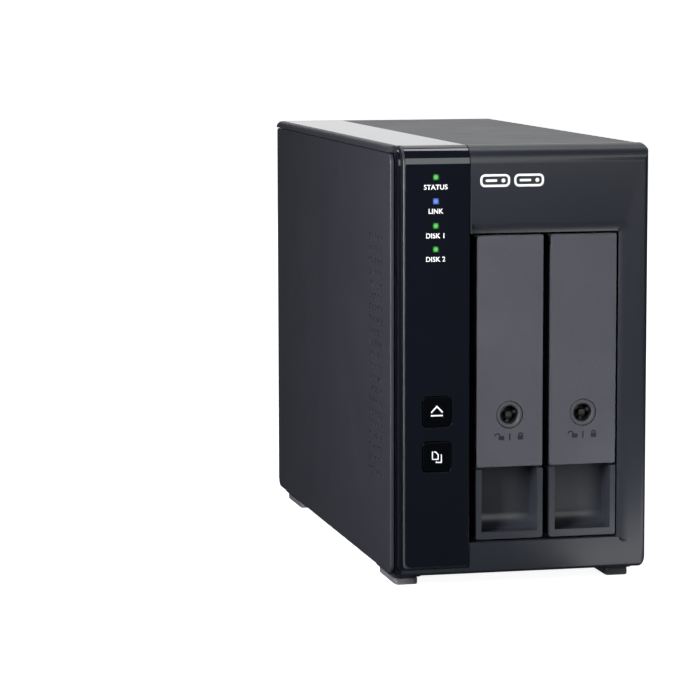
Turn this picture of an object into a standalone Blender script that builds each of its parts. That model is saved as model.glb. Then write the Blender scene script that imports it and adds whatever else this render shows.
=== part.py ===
"""Desktop two-bay disk storage unit: casing, front panel, drive trays, electronics, fan and rear ports.

Frame: origin under the middle of the unit on the surface it stands on, front towards -Y, +X to the right
seen from the front, +Z up. Lengths below are written in millimetres and turned into metres by MM.
"""
from math import cos, pi, radians, sin

import bmesh
import bpy
from mathutils import Matrix, Vector

MM = 0.001

# Driving dimensions of the casing
WIDTH = 100.0
DEPTH = 219.0
HEIGHT = 168.0
FOOT = 5.4
WALL = 2.0
GAP = 0.3
LEFT, RIGHT = -WIDTH / 2, WIDTH / 2
FRONT, BACK = -DEPTH / 2, DEPTH / 2
BEZEL_DEPTH = 8.0
SEAM = FRONT + BEZEL_DEPTH
CORNER = 5.0
SIDE_PLATE = 1.7
SIDE_TOP = HEIGHT - 2.9
GLOSS_RIGHT = -20.2
FACE_ROUND = 7.0
STRIP_MARGIN, STRIP_DEPTH = 3.0, 0.9

# Drive bays
BAY_PITCH = 28.95
BAY_CENTRES = (-4.05, -4.05 + BAY_PITCH)
TRAY_FACE = FRONT + 2.0
TRAY_BOTTOM, TRAY_TOP = 18.1, 134.0
PLATE_BOTTOM = 45.9
FACE_HALF = 12.85
FRAME_HALF = 13.1
PIVOT_Y, PIVOT_Z = TRAY_FACE + 2.5, TRAY_TOP - 2.3
TRAY_BLOCK_BACK = -93.0
LOCK_Z = 65.7
DRIVE_LENGTH, DRIVE_HEIGHT, DRIVE_THICK = 147.0, 101.6, 26.1
DRIVE_FRONT = -91.0
DRIVE_BACK = DRIVE_FRONT + DRIVE_LENGTH
DRIVE_MID_Z = (TRAY_BOTTOM + TRAY_TOP) / 2

# Rear
REAR_PANEL_Y, REAR_PANEL = 104.8, 2.0
REAR_FACE = REAR_PANEL_Y + REAR_PANEL
FAN_SIZE, FAN_DEPTH = 70.0, 15.0
FAN_X, FAN_Z = 11.0, 98.0
FAN_BACK = REAR_PANEL_Y - GAP
FAN_FRONT = FAN_BACK - FAN_DEPTH

# Left-hand electronics bay
BOARD_X = -44.6
BOARD = 1.6
BOARD_TOP = BOARD_X + BOARD + GAP

OBJECT = "network_attached_storage"

for leftover in list(bpy.data.objects):
    bpy.data.objects.remove(leftover, do_unlink=True)


def collection(name):
    group = bpy.data.collections.new(name)
    bpy.context.scene.collection.children.link(group)
    return group


PARTS = collection(OBJECT)
CUTTERS = collection("cutters")
PALETTE = {
    "matte_black": ((0.030, 0.032, 0.040), 0.55, 0.0),
    "gloss_black": ((0.006, 0.007, 0.010), 0.10, 0.0),
    "tray_grey": ((0.075, 0.076, 0.090), 0.60, 0.0),
    "tray_satin": ((0.040, 0.043, 0.052), 0.40, 0.0),
    "rubber": ((0.015, 0.015, 0.015), 0.90, 0.0),
    "steel": ((0.52, 0.53, 0.55), 0.35, 1.0),
    "screw_black": ((0.03, 0.03, 0.03), 0.35, 1.0),
    "aluminium": ((0.70, 0.71, 0.73), 0.40, 1.0),
    "circuit_green": ((0.010, 0.090, 0.035), 0.45, 0.0),
    "connector": ((0.02, 0.02, 0.02), 0.50, 0.0),
    "chip": ((0.02, 0.02, 0.022), 0.55, 0.0),
    "light_green": ((0.10, 0.85, 0.15), 0.20, 0.0),
    "light_blue": ((0.20, 0.40, 1.00), 0.20, 0.0),
    "fan_black": ((0.02, 0.02, 0.022), 0.45, 0.0),
}


def material(name):
    if name in bpy.data.materials:
        return bpy.data.materials[name]
    colour, roughness, metallic = PALETTE[name]
    made = bpy.data.materials.new(name)
    made.use_nodes = True
    shader = made.node_tree.nodes["Principled BSDF"]
    shader.inputs["Base Color"].default_value = (*colour, 1.0)
    shader.inputs["Roughness"].default_value = roughness
    shader.inputs["Metallic"].default_value = metallic
    return made


def own_material(name, node):
    copy = material(name).copy()
    copy.name = f"{node}_{name}"
    return copy


def place(mesh, name, finish, origin=(0, 0, 0)):
    """Link a mesh made in millimetres about the world origin, with its object origin moved to `origin`."""
    mesh.transform(Matrix.Translation(-Vector(origin)))
    mesh.transform(Matrix.Scale(MM, 4))
    thing = bpy.data.objects.new(name, mesh)
    thing.location = Vector(origin) * MM
    if finish is None:
        CUTTERS.objects.link(thing)
        thing.hide_render = True
        thing.display_type = "WIRE"
    else:
        PARTS.objects.link(thing)
        mesh.materials.append(own_material(finish, name))
        mesh.shade_smooth()
        mesh.set_sharp_from_angle(angle=radians(35))
    return thing


def box_mesh(lows, highs, mesh_name="box"):
    """One mesh holding a cube primitive for each (low, high) pair of corners."""
    work = bmesh.new()
    for low, high in zip(lows, highs):
        centre = [(a + b) / 2 for a, b in zip(low, high)]
        size = [b - a for a, b in zip(low, high)]
        shape = Matrix.Translation(centre) @ Matrix.Diagonal((*size, 1.0))
        bmesh.ops.create_cube(work, size=1.0, matrix=shape)
    mesh = bpy.data.meshes.new(mesh_name)
    work.to_mesh(mesh)
    work.free()
    return mesh


def box(name, low, high, finish=None, edge=0.0, origin=(0, 0, 0)):
    thing = place(box_mesh([low], [high], name), name, finish, origin)
    if edge:
        soften(thing, edge)
    return thing


def slab(name, centre, half_x, half_z, y_range, finish=None, edge=0.0):
    """A box about (x, z), from one y to another."""
    (low_x, low_z), (high_x, high_z) = around(centre, half_x, half_z)
    return box(name, (low_x, y_range[0], low_z), (high_x, y_range[1], high_z), finish, edge)


def boxes(name, pairs):
    """A cutter of several boxes that stand apart."""
    return place(box_mesh([low for low, _ in pairs], [high for _, high in pairs], name), name, None)


def soften(thing, edge, segments=1):
    bevel = thing.modifiers.new("edge", "BEVEL")
    bevel.width = edge * MM
    bevel.segments = segments
    bevel.limit_method = "ANGLE"
    bevel.angle_limit = radians(40)


TURN_TO = {"X": Matrix.Rotation(pi / 2, 4, "Y"), "Y": Matrix.Rotation(-pi / 2, 4, "X"), "Z": Matrix()}


def cylinder_mesh(spots, radius, start, end, axis, sides=24):
    """Cylinders of one radius along `axis` from `start` to `end`, at each (a, b) spot across it."""
    work = bmesh.new()
    for a, b in spots:
        middle = (start + end) / 2
        centre = {"X": (middle, a, b), "Y": (a, middle, b), "Z": (a, b, middle)}[axis]
        bmesh.ops.create_cone(work, cap_ends=True, segments=sides, radius1=radius, radius2=radius,
                              depth=end - start, matrix=Matrix.Translation(centre) @ TURN_TO[axis])
    mesh = bpy.data.meshes.new("cylinder")
    work.to_mesh(mesh)
    work.free()
    return mesh


def cylinder(name, spot, radius, start, end, axis, finish=None, sides=24, edge=0.0, origin=(0, 0, 0)):
    thing = place(cylinder_mesh([spot], radius, start, end, axis, sides), name, finish, origin)
    if edge:
        soften(thing, edge)
    return thing


def holes(name, spots, radius, start, end, axis, sides=24):
    return place(cylinder_mesh(spots, radius, start, end, axis, sides), name, None)


def arc(centre, radius, start, end, steps):
    """Points on an arc in its own plane, angles in degrees from the first axis."""
    return [(centre[0] + radius * cos(radians(start + (end - start) * i / steps)),
             centre[1] + radius * sin(radians(start + (end - start) * i / steps))) for i in range(steps + 1)]


def around(centre, half_a, half_b):
    """Low and high corners of a rectangle about its centre."""
    return (centre[0] - half_a, centre[1] - half_b), (centre[0] + half_a, centre[1] + half_b)


def rounded(low, high, radii, steps=4):
    """A rectangle with its own corner radius at lower right, upper right, upper left and lower left."""
    corners = [(high[0], low[1], -1, 1, -90), (high[0], high[1], -1, -1, 0),
               (low[0], high[1], 1, -1, 90), (low[0], low[1], 1, 1, 180)]
    points = []
    for (x, z, sx, sz, turn), radius in zip(corners, radii):
        if radius:
            points += arc((x + sx * radius, z + sz * radius), radius, turn, turn + 90, steps)
        else:
            points.append((x, z))
    return points


PLANES = {
    "X": Matrix(((0, 0, 1, 0), (1, 0, 0, 0), (0, 1, 0, 0), (0, 0, 0, 1))),
    "Y": Matrix(((1, 0, 0, 0), (0, 0, -1, 0), (0, 1, 0, 0), (0, 0, 0, 1))),
    "Z": Matrix(),
}


def outline(name, points, start, end, axis, finish=None, origin=(0, 0, 0), inner=()):
    """A flat outline pushed along `axis`: drawn in (y, z) for X, in (x, z) for Y and in (x, y) for Z."""
    curve = bpy.data.curves.new(name, "CURVE")
    curve.dimensions = "2D"
    curve.fill_mode = "BOTH"
    curve.extrude = (end - start) / 2 * MM
    for ring in (points, *inner):
        spline = curve.splines.new("POLY")
        spline.points.add(len(ring) - 1)
        for point, (a, b) in zip(spline.points, ring):
            point.co = (a * MM, b * MM, 0.0, 1.0)
        spline.use_cyclic_u = True
    shape = bpy.data.objects.new(name, curve)
    bpy.context.scene.collection.objects.link(shape)
    bpy.context.view_layer.update()
    mesh = bpy.data.meshes.new_from_object(shape.evaluated_get(bpy.context.evaluated_depsgraph_get()))
    bpy.data.objects.remove(shape, do_unlink=True)
    bpy.data.curves.remove(curve)
    work = bmesh.new()
    work.from_mesh(mesh)
    bmesh.ops.remove_doubles(work, verts=work.verts, dist=0.000001)
    middle = (start + end) / 2 * MM
    shift = Matrix.Translation({"X": (middle, 0, 0), "Y": (0, middle, 0), "Z": (0, 0, middle)}[axis])
    bmesh.ops.transform(work, matrix=Matrix.Scale(1 / MM, 4) @ shift @ PLANES[axis], verts=work.verts)
    bmesh.ops.recalc_face_normals(work, faces=work.faces)
    work.to_mesh(mesh)
    work.free()
    mesh.materials.clear()
    return place(mesh, name, finish, origin)


def combine(thing, other, operation):
    step = thing.modifiers.new(other.name, "BOOLEAN")
    step.operation = operation
    step.object = other


def cut(thing, *others):
    for other in others:
        combine(thing, other, "DIFFERENCE")


def join(thing, *others):
    for other in others:
        combine(thing, other, "UNION")


def pivot(name, location):
    """An empty on a joint's axis."""
    empty = bpy.data.objects.new(name, None)
    empty.empty_display_size = 0.01
    empty.location = Vector(location) * MM
    PARTS.objects.link(empty)
    return empty


def hang(thing, parent):
    """Parent a piece to another object and leave it where it is."""
    bpy.context.view_layer.update()
    thing.parent = parent
    thing.matrix_parent_inverse = parent.matrix_world.inverted()


def casing():
    """The top, right side and bottom in one bent shell, and the gloss strip let into its top."""
    lip, top_left, top_right = SIDE_TOP + GAP, 2.6, 3.5
    left_edge = LEFT + SIDE_PLATE + GAP
    outer = [(LEFT, lip), *arc((LEFT + top_left, HEIGHT - top_left), top_left, 180, 90, 4),
             *arc((RIGHT - top_right, HEIGHT - top_right), top_right, 90, 0, 4),
             *arc((RIGHT - CORNER, FOOT + CORNER), CORNER, 0, -90, 5), (left_edge, FOOT),
             (left_edge, FOOT + WALL)]
    inner = [*arc((RIGHT - CORNER, FOOT + CORNER), CORNER - WALL, -90, 0, 4),
             *arc((RIGHT - top_right, HEIGHT - top_right), top_right - WALL, 0, 90, 3),
             (LEFT + WALL, HEIGHT - WALL), (LEFT + WALL, lip)]
    shell = outline("main_shell", outer + inner, SEAM + GAP, BACK, "Y", "matte_black")
    strip_left, strip_back = LEFT + STRIP_MARGIN, BACK - WALL
    cut(shell, box("strip_recess", (strip_left, SEAM - 5, HEIGHT - STRIP_DEPTH),
                   (GLOSS_RIGHT, strip_back, HEIGHT + 5)))
    for x, y in FEET:
        pad = box(f"foot_pad_{x:.0f}_{y:.0f}", (x - FOOT_HALF_X - 1, y - FOOT_HALF_Y - 1, FOOT - PAD),
                  (x + FOOT_HALF_X + 1, y + FOOT_HALF_Y + 1, FOOT + WALL / 2))
        soften(pad, FOOT_EDGE)
        join(shell, pad)
    box("top_gloss_strip", (strip_left + GAP, SEAM + GAP, HEIGHT - STRIP_DEPTH + GAP),
        (GLOSS_RIGHT - GAP, strip_back - GAP, HEIGHT), "gloss_black")


FEET = [(x, y) for y in (-84.5, 91.0) for x in (-42.0, 42.0)]
FOOT_HALF_X, FOOT_HALF_Y, FOOT_EDGE = 4.5, 13.5, 0.8
PAD = 2.2


def feet():
    names = ("foot_front_left", "foot_front_right", "foot_rear_left", "foot_rear_right")
    for name, (x, y) in zip(names, FEET):
        box(name, (x - FOOT_HALF_X, y - FOOT_HALF_Y, 0), (x + FOOT_HALF_X, y + FOOT_HALF_Y, FOOT - PAD - GAP),
            "rubber", edge=FOOT_EDGE)


VENT_ROWS, VENT_COLUMNS = 21, 5
VENT_TOP, VENT_PITCH_Z = 131.7, 4.5
VENT_FRONT, VENT_PITCH_Y = -90.4, 4.7
VENT_SIZE = (1.7, 2.4)


def left_side_cover():
    inside = LEFT + SIDE_PLATE
    front, back = SEAM - 3.0, BACK - 1.0
    plate = outline("left_side_cover", rounded((front, FOOT), (back, SIDE_TOP), (4, 1.5, 4, 4)),
                    LEFT, inside, "X", "matte_black")
    soften(plate, 0.4)
    half_y, half_z = VENT_SIZE[0] / 2, VENT_SIZE[1] / 2
    slots = []
    for row in range(VENT_ROWS):
        for column in range(VENT_COLUMNS):
            y = VENT_FRONT + column * VENT_PITCH_Y
            z = VENT_TOP - row * VENT_PITCH_Z
            slots.append(((LEFT - 1, y - half_y, z - half_z), (inside + 1, y + half_y, z + half_z)))
    cut(plate, boxes("side_vents", slots))
    flange = box("rear_flange", (inside - 0.5, REAR_FACE + GAP, 12), (-38.0, back - 0.4, SIDE_TOP - 6))
    join(plate, flange)
    cut(plate, holes("flange_holes", CASING_SCREWS, 1.8, REAR_PANEL_Y, BACK + 1, "Y", 16))


CASING_SCREWS = [(-42.5, z) for z in (46.0, 98.0, 150.0)]
BAY_LEFT, BAY_RIGHT = GLOSS_RIGHT + 0.6, 38.7
BAY_BOTTOM, BAY_TOP = 17.4, 134.9


def front_bezel():
    low_x, centre = BEZEL_LEFT, (FRONT + FACE_ROUND, HEIGHT - FACE_ROUND)
    profile = [(SEAM, FOOT), (SEAM, HEIGHT), *arc(centre, FACE_ROUND, 90, 180, 7), (FRONT, FOOT + 1.5),
               (FRONT + 1.5, FOOT)]
    bezel = outline("front_bezel", profile, low_x, RIGHT, "X", "matte_black")
    face = rounded((low_x, FOOT - 1), (RIGHT, HEIGHT + 1), (CORNER + 1, CORNER - 0.5, 0, 3))
    combine(bezel, outline("bezel_face", face, FRONT - 5, SEAM + 5, "Y"), "INTERSECT")
    cut(bezel, box("bezel_hollow", (low_x + WALL, FRONT + 3.2, FOOT + 2.5),
                   (RIGHT - WALL, SEAM + 2, HEIGHT - 7.5)))
    seat_y, seat_z = FRONT + 1.8, FOOT + SEAT_LIP
    seat = [(FRONT - 3, seat_z), (seat_y, seat_z), (seat_y, HEIGHT - 7.5),
            *arc(centre, 4.7, 180, 90, 5), (SEAM + 2, HEIGHT - 2.4), (SEAM + 2, HEIGHT + 3),
            (FRONT - 3, HEIGHT + 3)]
    cut(bezel, outline("gloss_seat", seat, GLOSS_LEFT - GAP, GLOSS_RIGHT, "X"))
    window = rounded((BAY_LEFT, BAY_BOTTOM), (BAY_RIGHT, BAY_TOP), (1, 1, 0, 0))
    cut(bezel, outline("bay_window", window, FRONT - 3, SEAM + 3, "Y"))
    cut(bezel, bay_chamfer())
    windows = [((x - 6.4, FRONT - 2, z - 6.6), (x + 6.4, SEAM + 2, z + 6.6)) for x, z in BUTTONS.values()]
    windows += [((LIGHT_X - 1.6, FRONT - 2, z - 1.6), (LIGHT_X + 1.6, SEAM + 2, z + 1.6)) for z in LIGHT_Z]
    cut(bezel, boxes("control_windows", windows))


BEZEL_LEFT = LEFT + 2.2
GLOSS_LEFT = BEZEL_LEFT + 1.1 + GAP
SEAT_LIP = 2.3


def bay_chamfer():
    """A wedge that widens the bay window towards the front along its top and its right side."""
    depth, wide_x, wide_z = 2.4, 4.6, 4.2
    work = bmesh.new()
    back = rounded((BAY_LEFT, BAY_BOTTOM + 0.1), (BAY_RIGHT, BAY_TOP), (1.0, 1.0, 0, 0))
    front = rounded((BAY_LEFT, BAY_BOTTOM - 0.1), (BAY_RIGHT + wide_x, BAY_TOP + wide_z), (4.5, 4.5, 0, 0))
    past = 0.5
    stretch = (depth + past) / depth
    ahead = [(bx + (fx - bx) * stretch, bz + (fz - bz) * stretch) for (bx, bz), (fx, fz) in zip(back, front)]
    rings = [[work.verts.new((x, y, z)) for x, z in ring]
             for y, ring in ((FRONT + depth, back), (FRONT - past, ahead))]
    count = len(back)
    for i in range(count):
        work.faces.new((rings[0][i], rings[0][(i + 1) % count], rings[1][(i + 1) % count], rings[1][i]))
    for ring in rings:
        work.faces.new(ring)
    bmesh.ops.recalc_face_normals(work, faces=work.faces)
    mesh = bpy.data.meshes.new("bay_chamfer")
    work.to_mesh(mesh)
    work.free()
    return place(mesh, "bay_chamfer", None)


BUTTONS = {"eject_button": (-33.1, 68.0), "copy_button": (-33.1, 50.9)}
BUTTON_HALF = (5.5, 5.7)
BUTTON_TRAVEL = 0.8
LIGHT_X, LIGHT_HALF = -33.6, 1.0
LIGHT_Z = (156.4, 147.4, 138.2, 129.4)
LIGHT_NAMES = ("light_guide_status", "light_guide_link", "light_guide_disk_1", "light_guide_disk_2")


def gloss_front_panel():
    low_z, right, thick = FOOT + SEAT_LIP + GAP, GLOSS_RIGHT - GAP, 1.5
    centre = (FRONT + FACE_ROUND, HEIGHT - FACE_ROUND)
    profile = [(FRONT + thick, low_z), (FRONT, low_z + 0.6), *arc(centre, FACE_ROUND, 180, 90, 7),
               (SEAM, HEIGHT), (SEAM, HEIGHT - 2.1), *arc(centre, 5.0, 85, 175, 5),
               (FRONT + thick, HEIGHT - 8)]
    panel = outline("gloss_front_panel", profile, GLOSS_LEFT, right, "X", "gloss_black")
    face = rounded((GLOSS_LEFT, low_z - 0.2), (right, HEIGHT + 1), (0.5, 0, 0, 3))
    combine(panel, outline("gloss_face", face, FRONT - 5, SEAM + 5, "Y"), "INTERSECT")
    for name, spot in BUTTONS.items():
        hole = rounded(*around(spot, BUTTON_HALF[0] + GAP, BUTTON_HALF[1] + GAP), (1.6,) * 4, 3)
        cut(panel, outline(f"{name}_hole", hole, FRONT - 2, FRONT + 4, "Y"))
    for name, z in zip(LIGHT_NAMES, LIGHT_Z):
        half = LIGHT_HALF + GAP
        cut(panel, slab(f"{name}_hole", (LIGHT_X, z), half, half, (FRONT - 2, FRONT + 4)))


def front_controls():
    plunger_front = SWITCH_FRONT - PLUNGER
    for name, (x, z) in BUTTONS.items():
        face = rounded(*around((x, z), *BUTTON_HALF), (1.4,) * 4, 3)
        cap = outline(name, face, FRONT, FRONT + 3.0, "Y", "gloss_black", (x, FRONT, z))
        stem_end = plunger_front - BUTTON_TRAVEL - GAP
        join(cap, cylinder(f"{name}_stem", (x, z), 1.6, FRONT + 2.5, stem_end, "Y", sides=12))
        switch = slab(f"{name}_switch", (x, z), 3, 3, (SWITCH_FRONT, FRONT_BOARD_Y - GAP), "chip", 0.3)
        join(switch, cylinder(f"{name}_plunger", (x, z), 1.4, plunger_front, SWITCH_FRONT + 1, "Y", sides=12))
    for name, z in zip(LIGHT_NAMES, LIGHT_Z):
        finish = "light_blue" if name.endswith("link") else "light_green"
        slab(name, (LIGHT_X, z), LIGHT_HALF, LIGHT_HALF, (FRONT, FRONT_BOARD_Y - GAP), finish)
    box("front_board", (-44.5, FRONT_BOARD_Y, 42), (-23.0, FRONT_BOARD_Y + BOARD, 163), "circuit_green")


FRONT_BOARD_Y = -94.6
SWITCH_FRONT = FRONT_BOARD_Y - 3.8
PLUNGER = 0.6


def rear_panel():
    """The sheet that closes the back, with the fan's grille, the screw holes and the port windows."""
    inset = WALL + GAP
    sheet = rounded((LEFT + inset, FOOT + inset), (RIGHT - inset, HEIGHT - inset), (4, 3, 1, 1))
    panel = outline("rear_panel", sheet, REAR_PANEL_Y, REAR_FACE, "Y", "matte_black")
    through, centre = (REAR_PANEL_Y - 2, REAR_FACE + 3), (FAN_X, FAN_Z)
    rings, spokes, first, pitch, slot, half_spoke = 5, 8, 6.0, 5.2, 3.4, 1.3
    for ring in range(rings):
        inner, outer = first + ring * pitch, first + ring * pitch + slot
        slots = []
        for spoke in range(spokes):
            start = 360 / spokes * spoke + degrees_for(half_spoke, inner)
            end = 360 / spokes * (spoke + 1) - degrees_for(half_spoke, inner)
            slots.append(arc(centre, outer, start, end, 4) + arc(centre, inner, end, start, 4))
        cut(panel, outline(f"grille_ring_{ring}", slots[0], *through, "Y", inner=slots[1:]))
    cut(panel, holes("panel_fan_holes", FAN_HOLES, 2.2, *through, "Y", 16))
    cut(panel, holes("panel_case_holes", CASING_SCREWS, 1.6, *through, "Y", 16))
    for name, (x, z, width, height) in REAR_PORTS.items():
        room = 0.4
        cut(panel, slab(f"{name}_window", (x, z), width / 2 + room, height / 2 + room, through))


REAR_PORTS = {
    "usb_c_port": (-33.0, 34.0, 3.6, 9.4),
    "dc_power_jack": (-32.0, 18.0, 9.0, 11.0),
    "power_button": (-29.0, 57.0, 7.0, 7.0),
    "mode_switch_housing": (-29.0, 78.0, 6.0, 16.0),
    "lock_slot": (30.0, 22.0, 6.5, 2.4),
}
FAN_HOLE = 30.5
FAN_HOLES = [(FAN_X + sx * FAN_HOLE, FAN_Z + sz * FAN_HOLE) for sx in (-1, 1) for sz in (-1, 1)]


def degrees_for(length, radius):
    return length / radius * 180 / pi


def screw(name, centre, head_radius, shank_radius, head_back, length, head=1.6):
    """A cross-head screw that is driven in from the back, along -Y."""
    body = cylinder(name, centre, head_radius, head_back - head, head_back, "Y", "screw_black", 20, edge=0.3)
    tip = head_back - length
    join(body, cylinder(f"{name}_shank", centre, shank_radius, tip, head_back - head / 2, "Y", sides=12))
    long, short, depth = head_radius * 0.55, 0.35, (head_back - head * 0.6, head_back + 1)
    cut(body, slab(f"{name}_slot_1", centre, long, short, depth),
        slab(f"{name}_slot_2", centre, short, long, depth))


def fan():
    half, centre = FAN_SIZE / 2, (FAN_X, FAN_Z)
    frame = slab("fan_frame", centre, half, half, (FAN_FRONT, FAN_BACK), "fan_black", 0.6)
    bore = half - 1.6
    cut(frame, cylinder("fan_bore", centre, bore, FAN_FRONT - 2, FAN_BACK + 2, "Y", sides=48))
    join(frame, cylinder("fan_motor_seat", centre, 13.0, FAN_BACK - 2.6, FAN_BACK - 0.4, "Y", sides=32))
    for turn in (35, 145, 215, 325):
        strut = box(f"fan_strut_{turn}", (9, FAN_BACK - 2.4, -1.2), (bore + 1.0, FAN_BACK - 0.6, 1.2))
        strut.matrix_world = (Matrix.Translation(Vector((FAN_X, 0, FAN_Z)) * MM)
                              @ Matrix.Rotation(radians(turn), 4, "Y"))
        join(frame, strut)
    cut(frame, holes("fan_frame_holes", FAN_HOLES, 1.9, FAN_FRONT - 2, FAN_BACK + 2, "Y", 16))
    for i, spot in enumerate(FAN_HOLES):
        screw(f"fan_screw_{i + 1}", spot, 3.0, 1.6, REAR_FACE + GAP + 1.6, 9.0)
    fan_rotor()


def fan_rotor():
    blades, hub_radius, tip = 7, 14.0, FAN_SIZE / 2 - 3.0
    front, back = FAN_FRONT + 0.8, FAN_BACK - 3.4
    hub = cylinder("fan_rotor", (FAN_X, FAN_Z), hub_radius, front, back, "Y", "fan_black", 28, 0.8,
                   (FAN_X, (front + back) / 2, FAN_Z))
    for i in range(blades):
        join(hub, fan_blade(i, 2 * pi * (i + 0.3) / blades, hub_radius - 1.0, tip, front + 0.6, back - 0.4))


def fan_blade(index, turn, root, tip, front, back):
    """A twisted blade lofted between an inner and an outer arc about the fan's axis."""
    thick, steps, sweep_root, sweep_tip = 1.2, 5, 0.62, 0.74
    work = bmesh.new()
    grid = []
    for radius, sweep in ((root, sweep_root), (tip, sweep_tip)):
        for side in (-thick / 2, thick / 2):
            row = []
            for k in range(steps + 1):
                t = k / steps
                angle = turn + sweep * t + 0.10 * sin(pi * t)
                y = front + (back - front) * t + side
                row.append(work.verts.new((FAN_X + radius * cos(angle), y, FAN_Z + radius * sin(angle))))
            grid.append(row)
    a, b, c, d = grid
    for k in range(steps):
        work.faces.new((a[k], a[k + 1], c[k + 1], c[k]))
        work.faces.new((b[k], d[k], d[k + 1], b[k + 1]))
        work.faces.new((a[k], b[k], b[k + 1], a[k + 1]))
        work.faces.new((c[k], c[k + 1], d[k + 1], d[k]))
    work.faces.new((a[0], c[0], d[0], b[0]))
    work.faces.new((a[-1], b[-1], d[-1], c[-1]))
    bmesh.ops.recalc_face_normals(work, faces=work.faces)
    mesh = bpy.data.meshes.new("fan_blade")
    work.to_mesh(mesh)
    work.free()
    return place(mesh, f"fan_blade_{index}", None)


CAGE_WALL = 1.0
CAGE_LOW = (-19.9, SEAM + 1.0, 14.6)
CAGE_HIGH = (40.6, 61.0, 137.4)
CAGE_VENTS, CAGE_VENT, CAGE_VENT_PITCH = 6, 13.0, 21.0


def drive_cage():
    """Two vented side plates, and a floor and a roof with a pair of guide ribs for each tray."""
    low, high, t = CAGE_LOW, CAGE_HIGH, CAGE_WALL
    for name, x in (("cage_left_plate", low[0]), ("cage_right_plate", high[0] - t)):
        plate = box(name, (x, low[1], low[2]), (x + t, high[1], high[2]), "steel")
        vents = [((x - 2, y, 30), (x + t + 2, y + CAGE_VENT, 122))
                 for y in (-80 + i * CAGE_VENT_PITCH for i in range(CAGE_VENTS))]
        cut(plate, boxes(f"{name}_vents", vents))
    inside = (low[0] + t + GAP, high[0] - t - GAP)
    for name, z, rib_low, rib_high in (
            ("cage_floor", low[2], low[2] + t / 2, TRAY_RAIL_LOW[0] - GAP),
            ("cage_roof", high[2] - t, TRAY_RAIL_HIGH[1] + GAP, high[2] - t / 2)):
        sheet = box(name, (inside[0], low[1], z), (inside[1], high[1], z + t), "steel")
        for x in BAY_CENTRES:
            for side in (-1, 1):
                at = x + side * 9.0
                join(sheet, box(f"{name}_rib_{x:.0f}_{side}", (at - 1.0, TRAY_BLOCK_BACK + 3, rib_low),
                                (at + 1.0, high[1] - 4, rib_high)))


TRAY_RAIL_LOW = (20.4, 24.6)
TRAY_RAIL_HIGH = (127.4, 131.6)
TRAY_LEFT, TRAY_RIGHT = -14.2, 13.4
TRAY_FLOOR = 0.85
RECESS_HALF = 11.0
RECESS_BACK = TRAY_FACE + 11.0


def tray(number, x):
    node = f"tray_body_{number}"
    slide = pivot(f"tray_slide_{number}", (x, TRAY_FACE, DRIVE_MID_Z))
    half = FACE_HALF - 0.25
    body = box(node, (x - half, TRAY_FACE + 3.0, TRAY_BOTTOM + 2.0),
               (x + half, TRAY_BLOCK_BACK, TRAY_TOP - 0.2), "tray_satin")
    frame = box(f"{node}_frame", (x - FRAME_HALF, TRAY_FACE, TRAY_BOTTOM),
                (x + FRAME_HALF, TRAY_BLOCK_BACK - 0.5, PLATE_BOTTOM - 1.0), edge=0.5)
    join(body, frame)
    back = DRIVE_BACK - 4.0
    for name, (low, high) in (("rail_low", TRAY_RAIL_LOW), ("rail_high", TRAY_RAIL_HIGH)):
        join(body, box(f"{node}_{name}", (x + TRAY_LEFT, TRAY_BLOCK_BACK - 2, low),
                       (x + TRAY_RIGHT, back, high)))
    join(body, box(f"{node}_floor", (x + TRAY_LEFT + 0.02, TRAY_BLOCK_BACK - 2.02, TRAY_RAIL_LOW[0] + 1),
                   (x + TRAY_LEFT + TRAY_FLOOR, back - 0.02, TRAY_RAIL_HIGH[1] - 1)))
    slots = [((x + TRAY_LEFT - 2, y, 40), (x + TRAY_LEFT + 2, y + 11, 112)) for y in range(-80, 45, 21)]
    recess = outline(f"{node}_recess", finger_recess(), x - RECESS_HALF, x + RECESS_HALF, "X")
    pocket = box(f"{node}_lock_pocket", (x - 6.5, TRAY_FACE, LOCK_Z - 7.5),
                 (x + 6.5, TRAY_BLOCK_BACK - 2.5, LOCK_Z + 6))
    hinge = outline(f"{node}_hinge_pocket", hinge_pocket(), x - 10.8, x + 10.8, "X")
    relief = box(f"{node}_top_relief", (x - 14, PIVOT_Y - 6, PIVOT_Z + 1.35),
                 (x + 14, PIVOT_Y + 3.3, TRAY_TOP + 2))
    cut(body, boxes(f"{node}_floor_slots", slots), recess, pocket, hinge, relief)
    ears = [outline(f"{node}_ear_{side}", hinge_ear(), x + side * 11.7 - 0.7, x + side * 11.7 + 0.7, "X")
            for side in (-1, 1)]
    join(body, *ears)
    cut(body, cylinder(f"{node}_pin_hole", HINGE, PIN_RADIUS + 0.1, x - 12.5, x + 12.5, "X", sides=16))
    hang(body, slide)
    swing = pivot(f"handle_hinge_{number}", (x, PIVOT_Y, PIVOT_Z))
    hang(swing, slide)
    pin = cylinder(f"handle_pin_{number}", HINGE, PIN_RADIUS, x - 12.1, x + 12.1, "X", "steel", 16)
    hang(pin, slide)
    hang(tray_handle(number, x), swing)
    hang(tray_lock(number, x), swing)
    hang(hard_drive(number, x), slide)


HINGE = (PIVOT_Y, PIVOT_Z)
PIN_RADIUS = 0.6


def finger_recess():
    """Side outline of the pull recess: an open front, a flat back wall and a hollow curved floor."""
    floor_z, cove = TRAY_BOTTOM + 2.7, 6.5
    return [(TRAY_FACE - 3, floor_z), (TRAY_FACE + 1.5, floor_z),
            *arc((RECESS_BACK - cove, floor_z + cove - 0.6), cove, -70, 0, 5),
            (RECESS_BACK, PLATE_BOTTOM + 9), (TRAY_FACE - 3, PLATE_BOTTOM + 9)]


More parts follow.
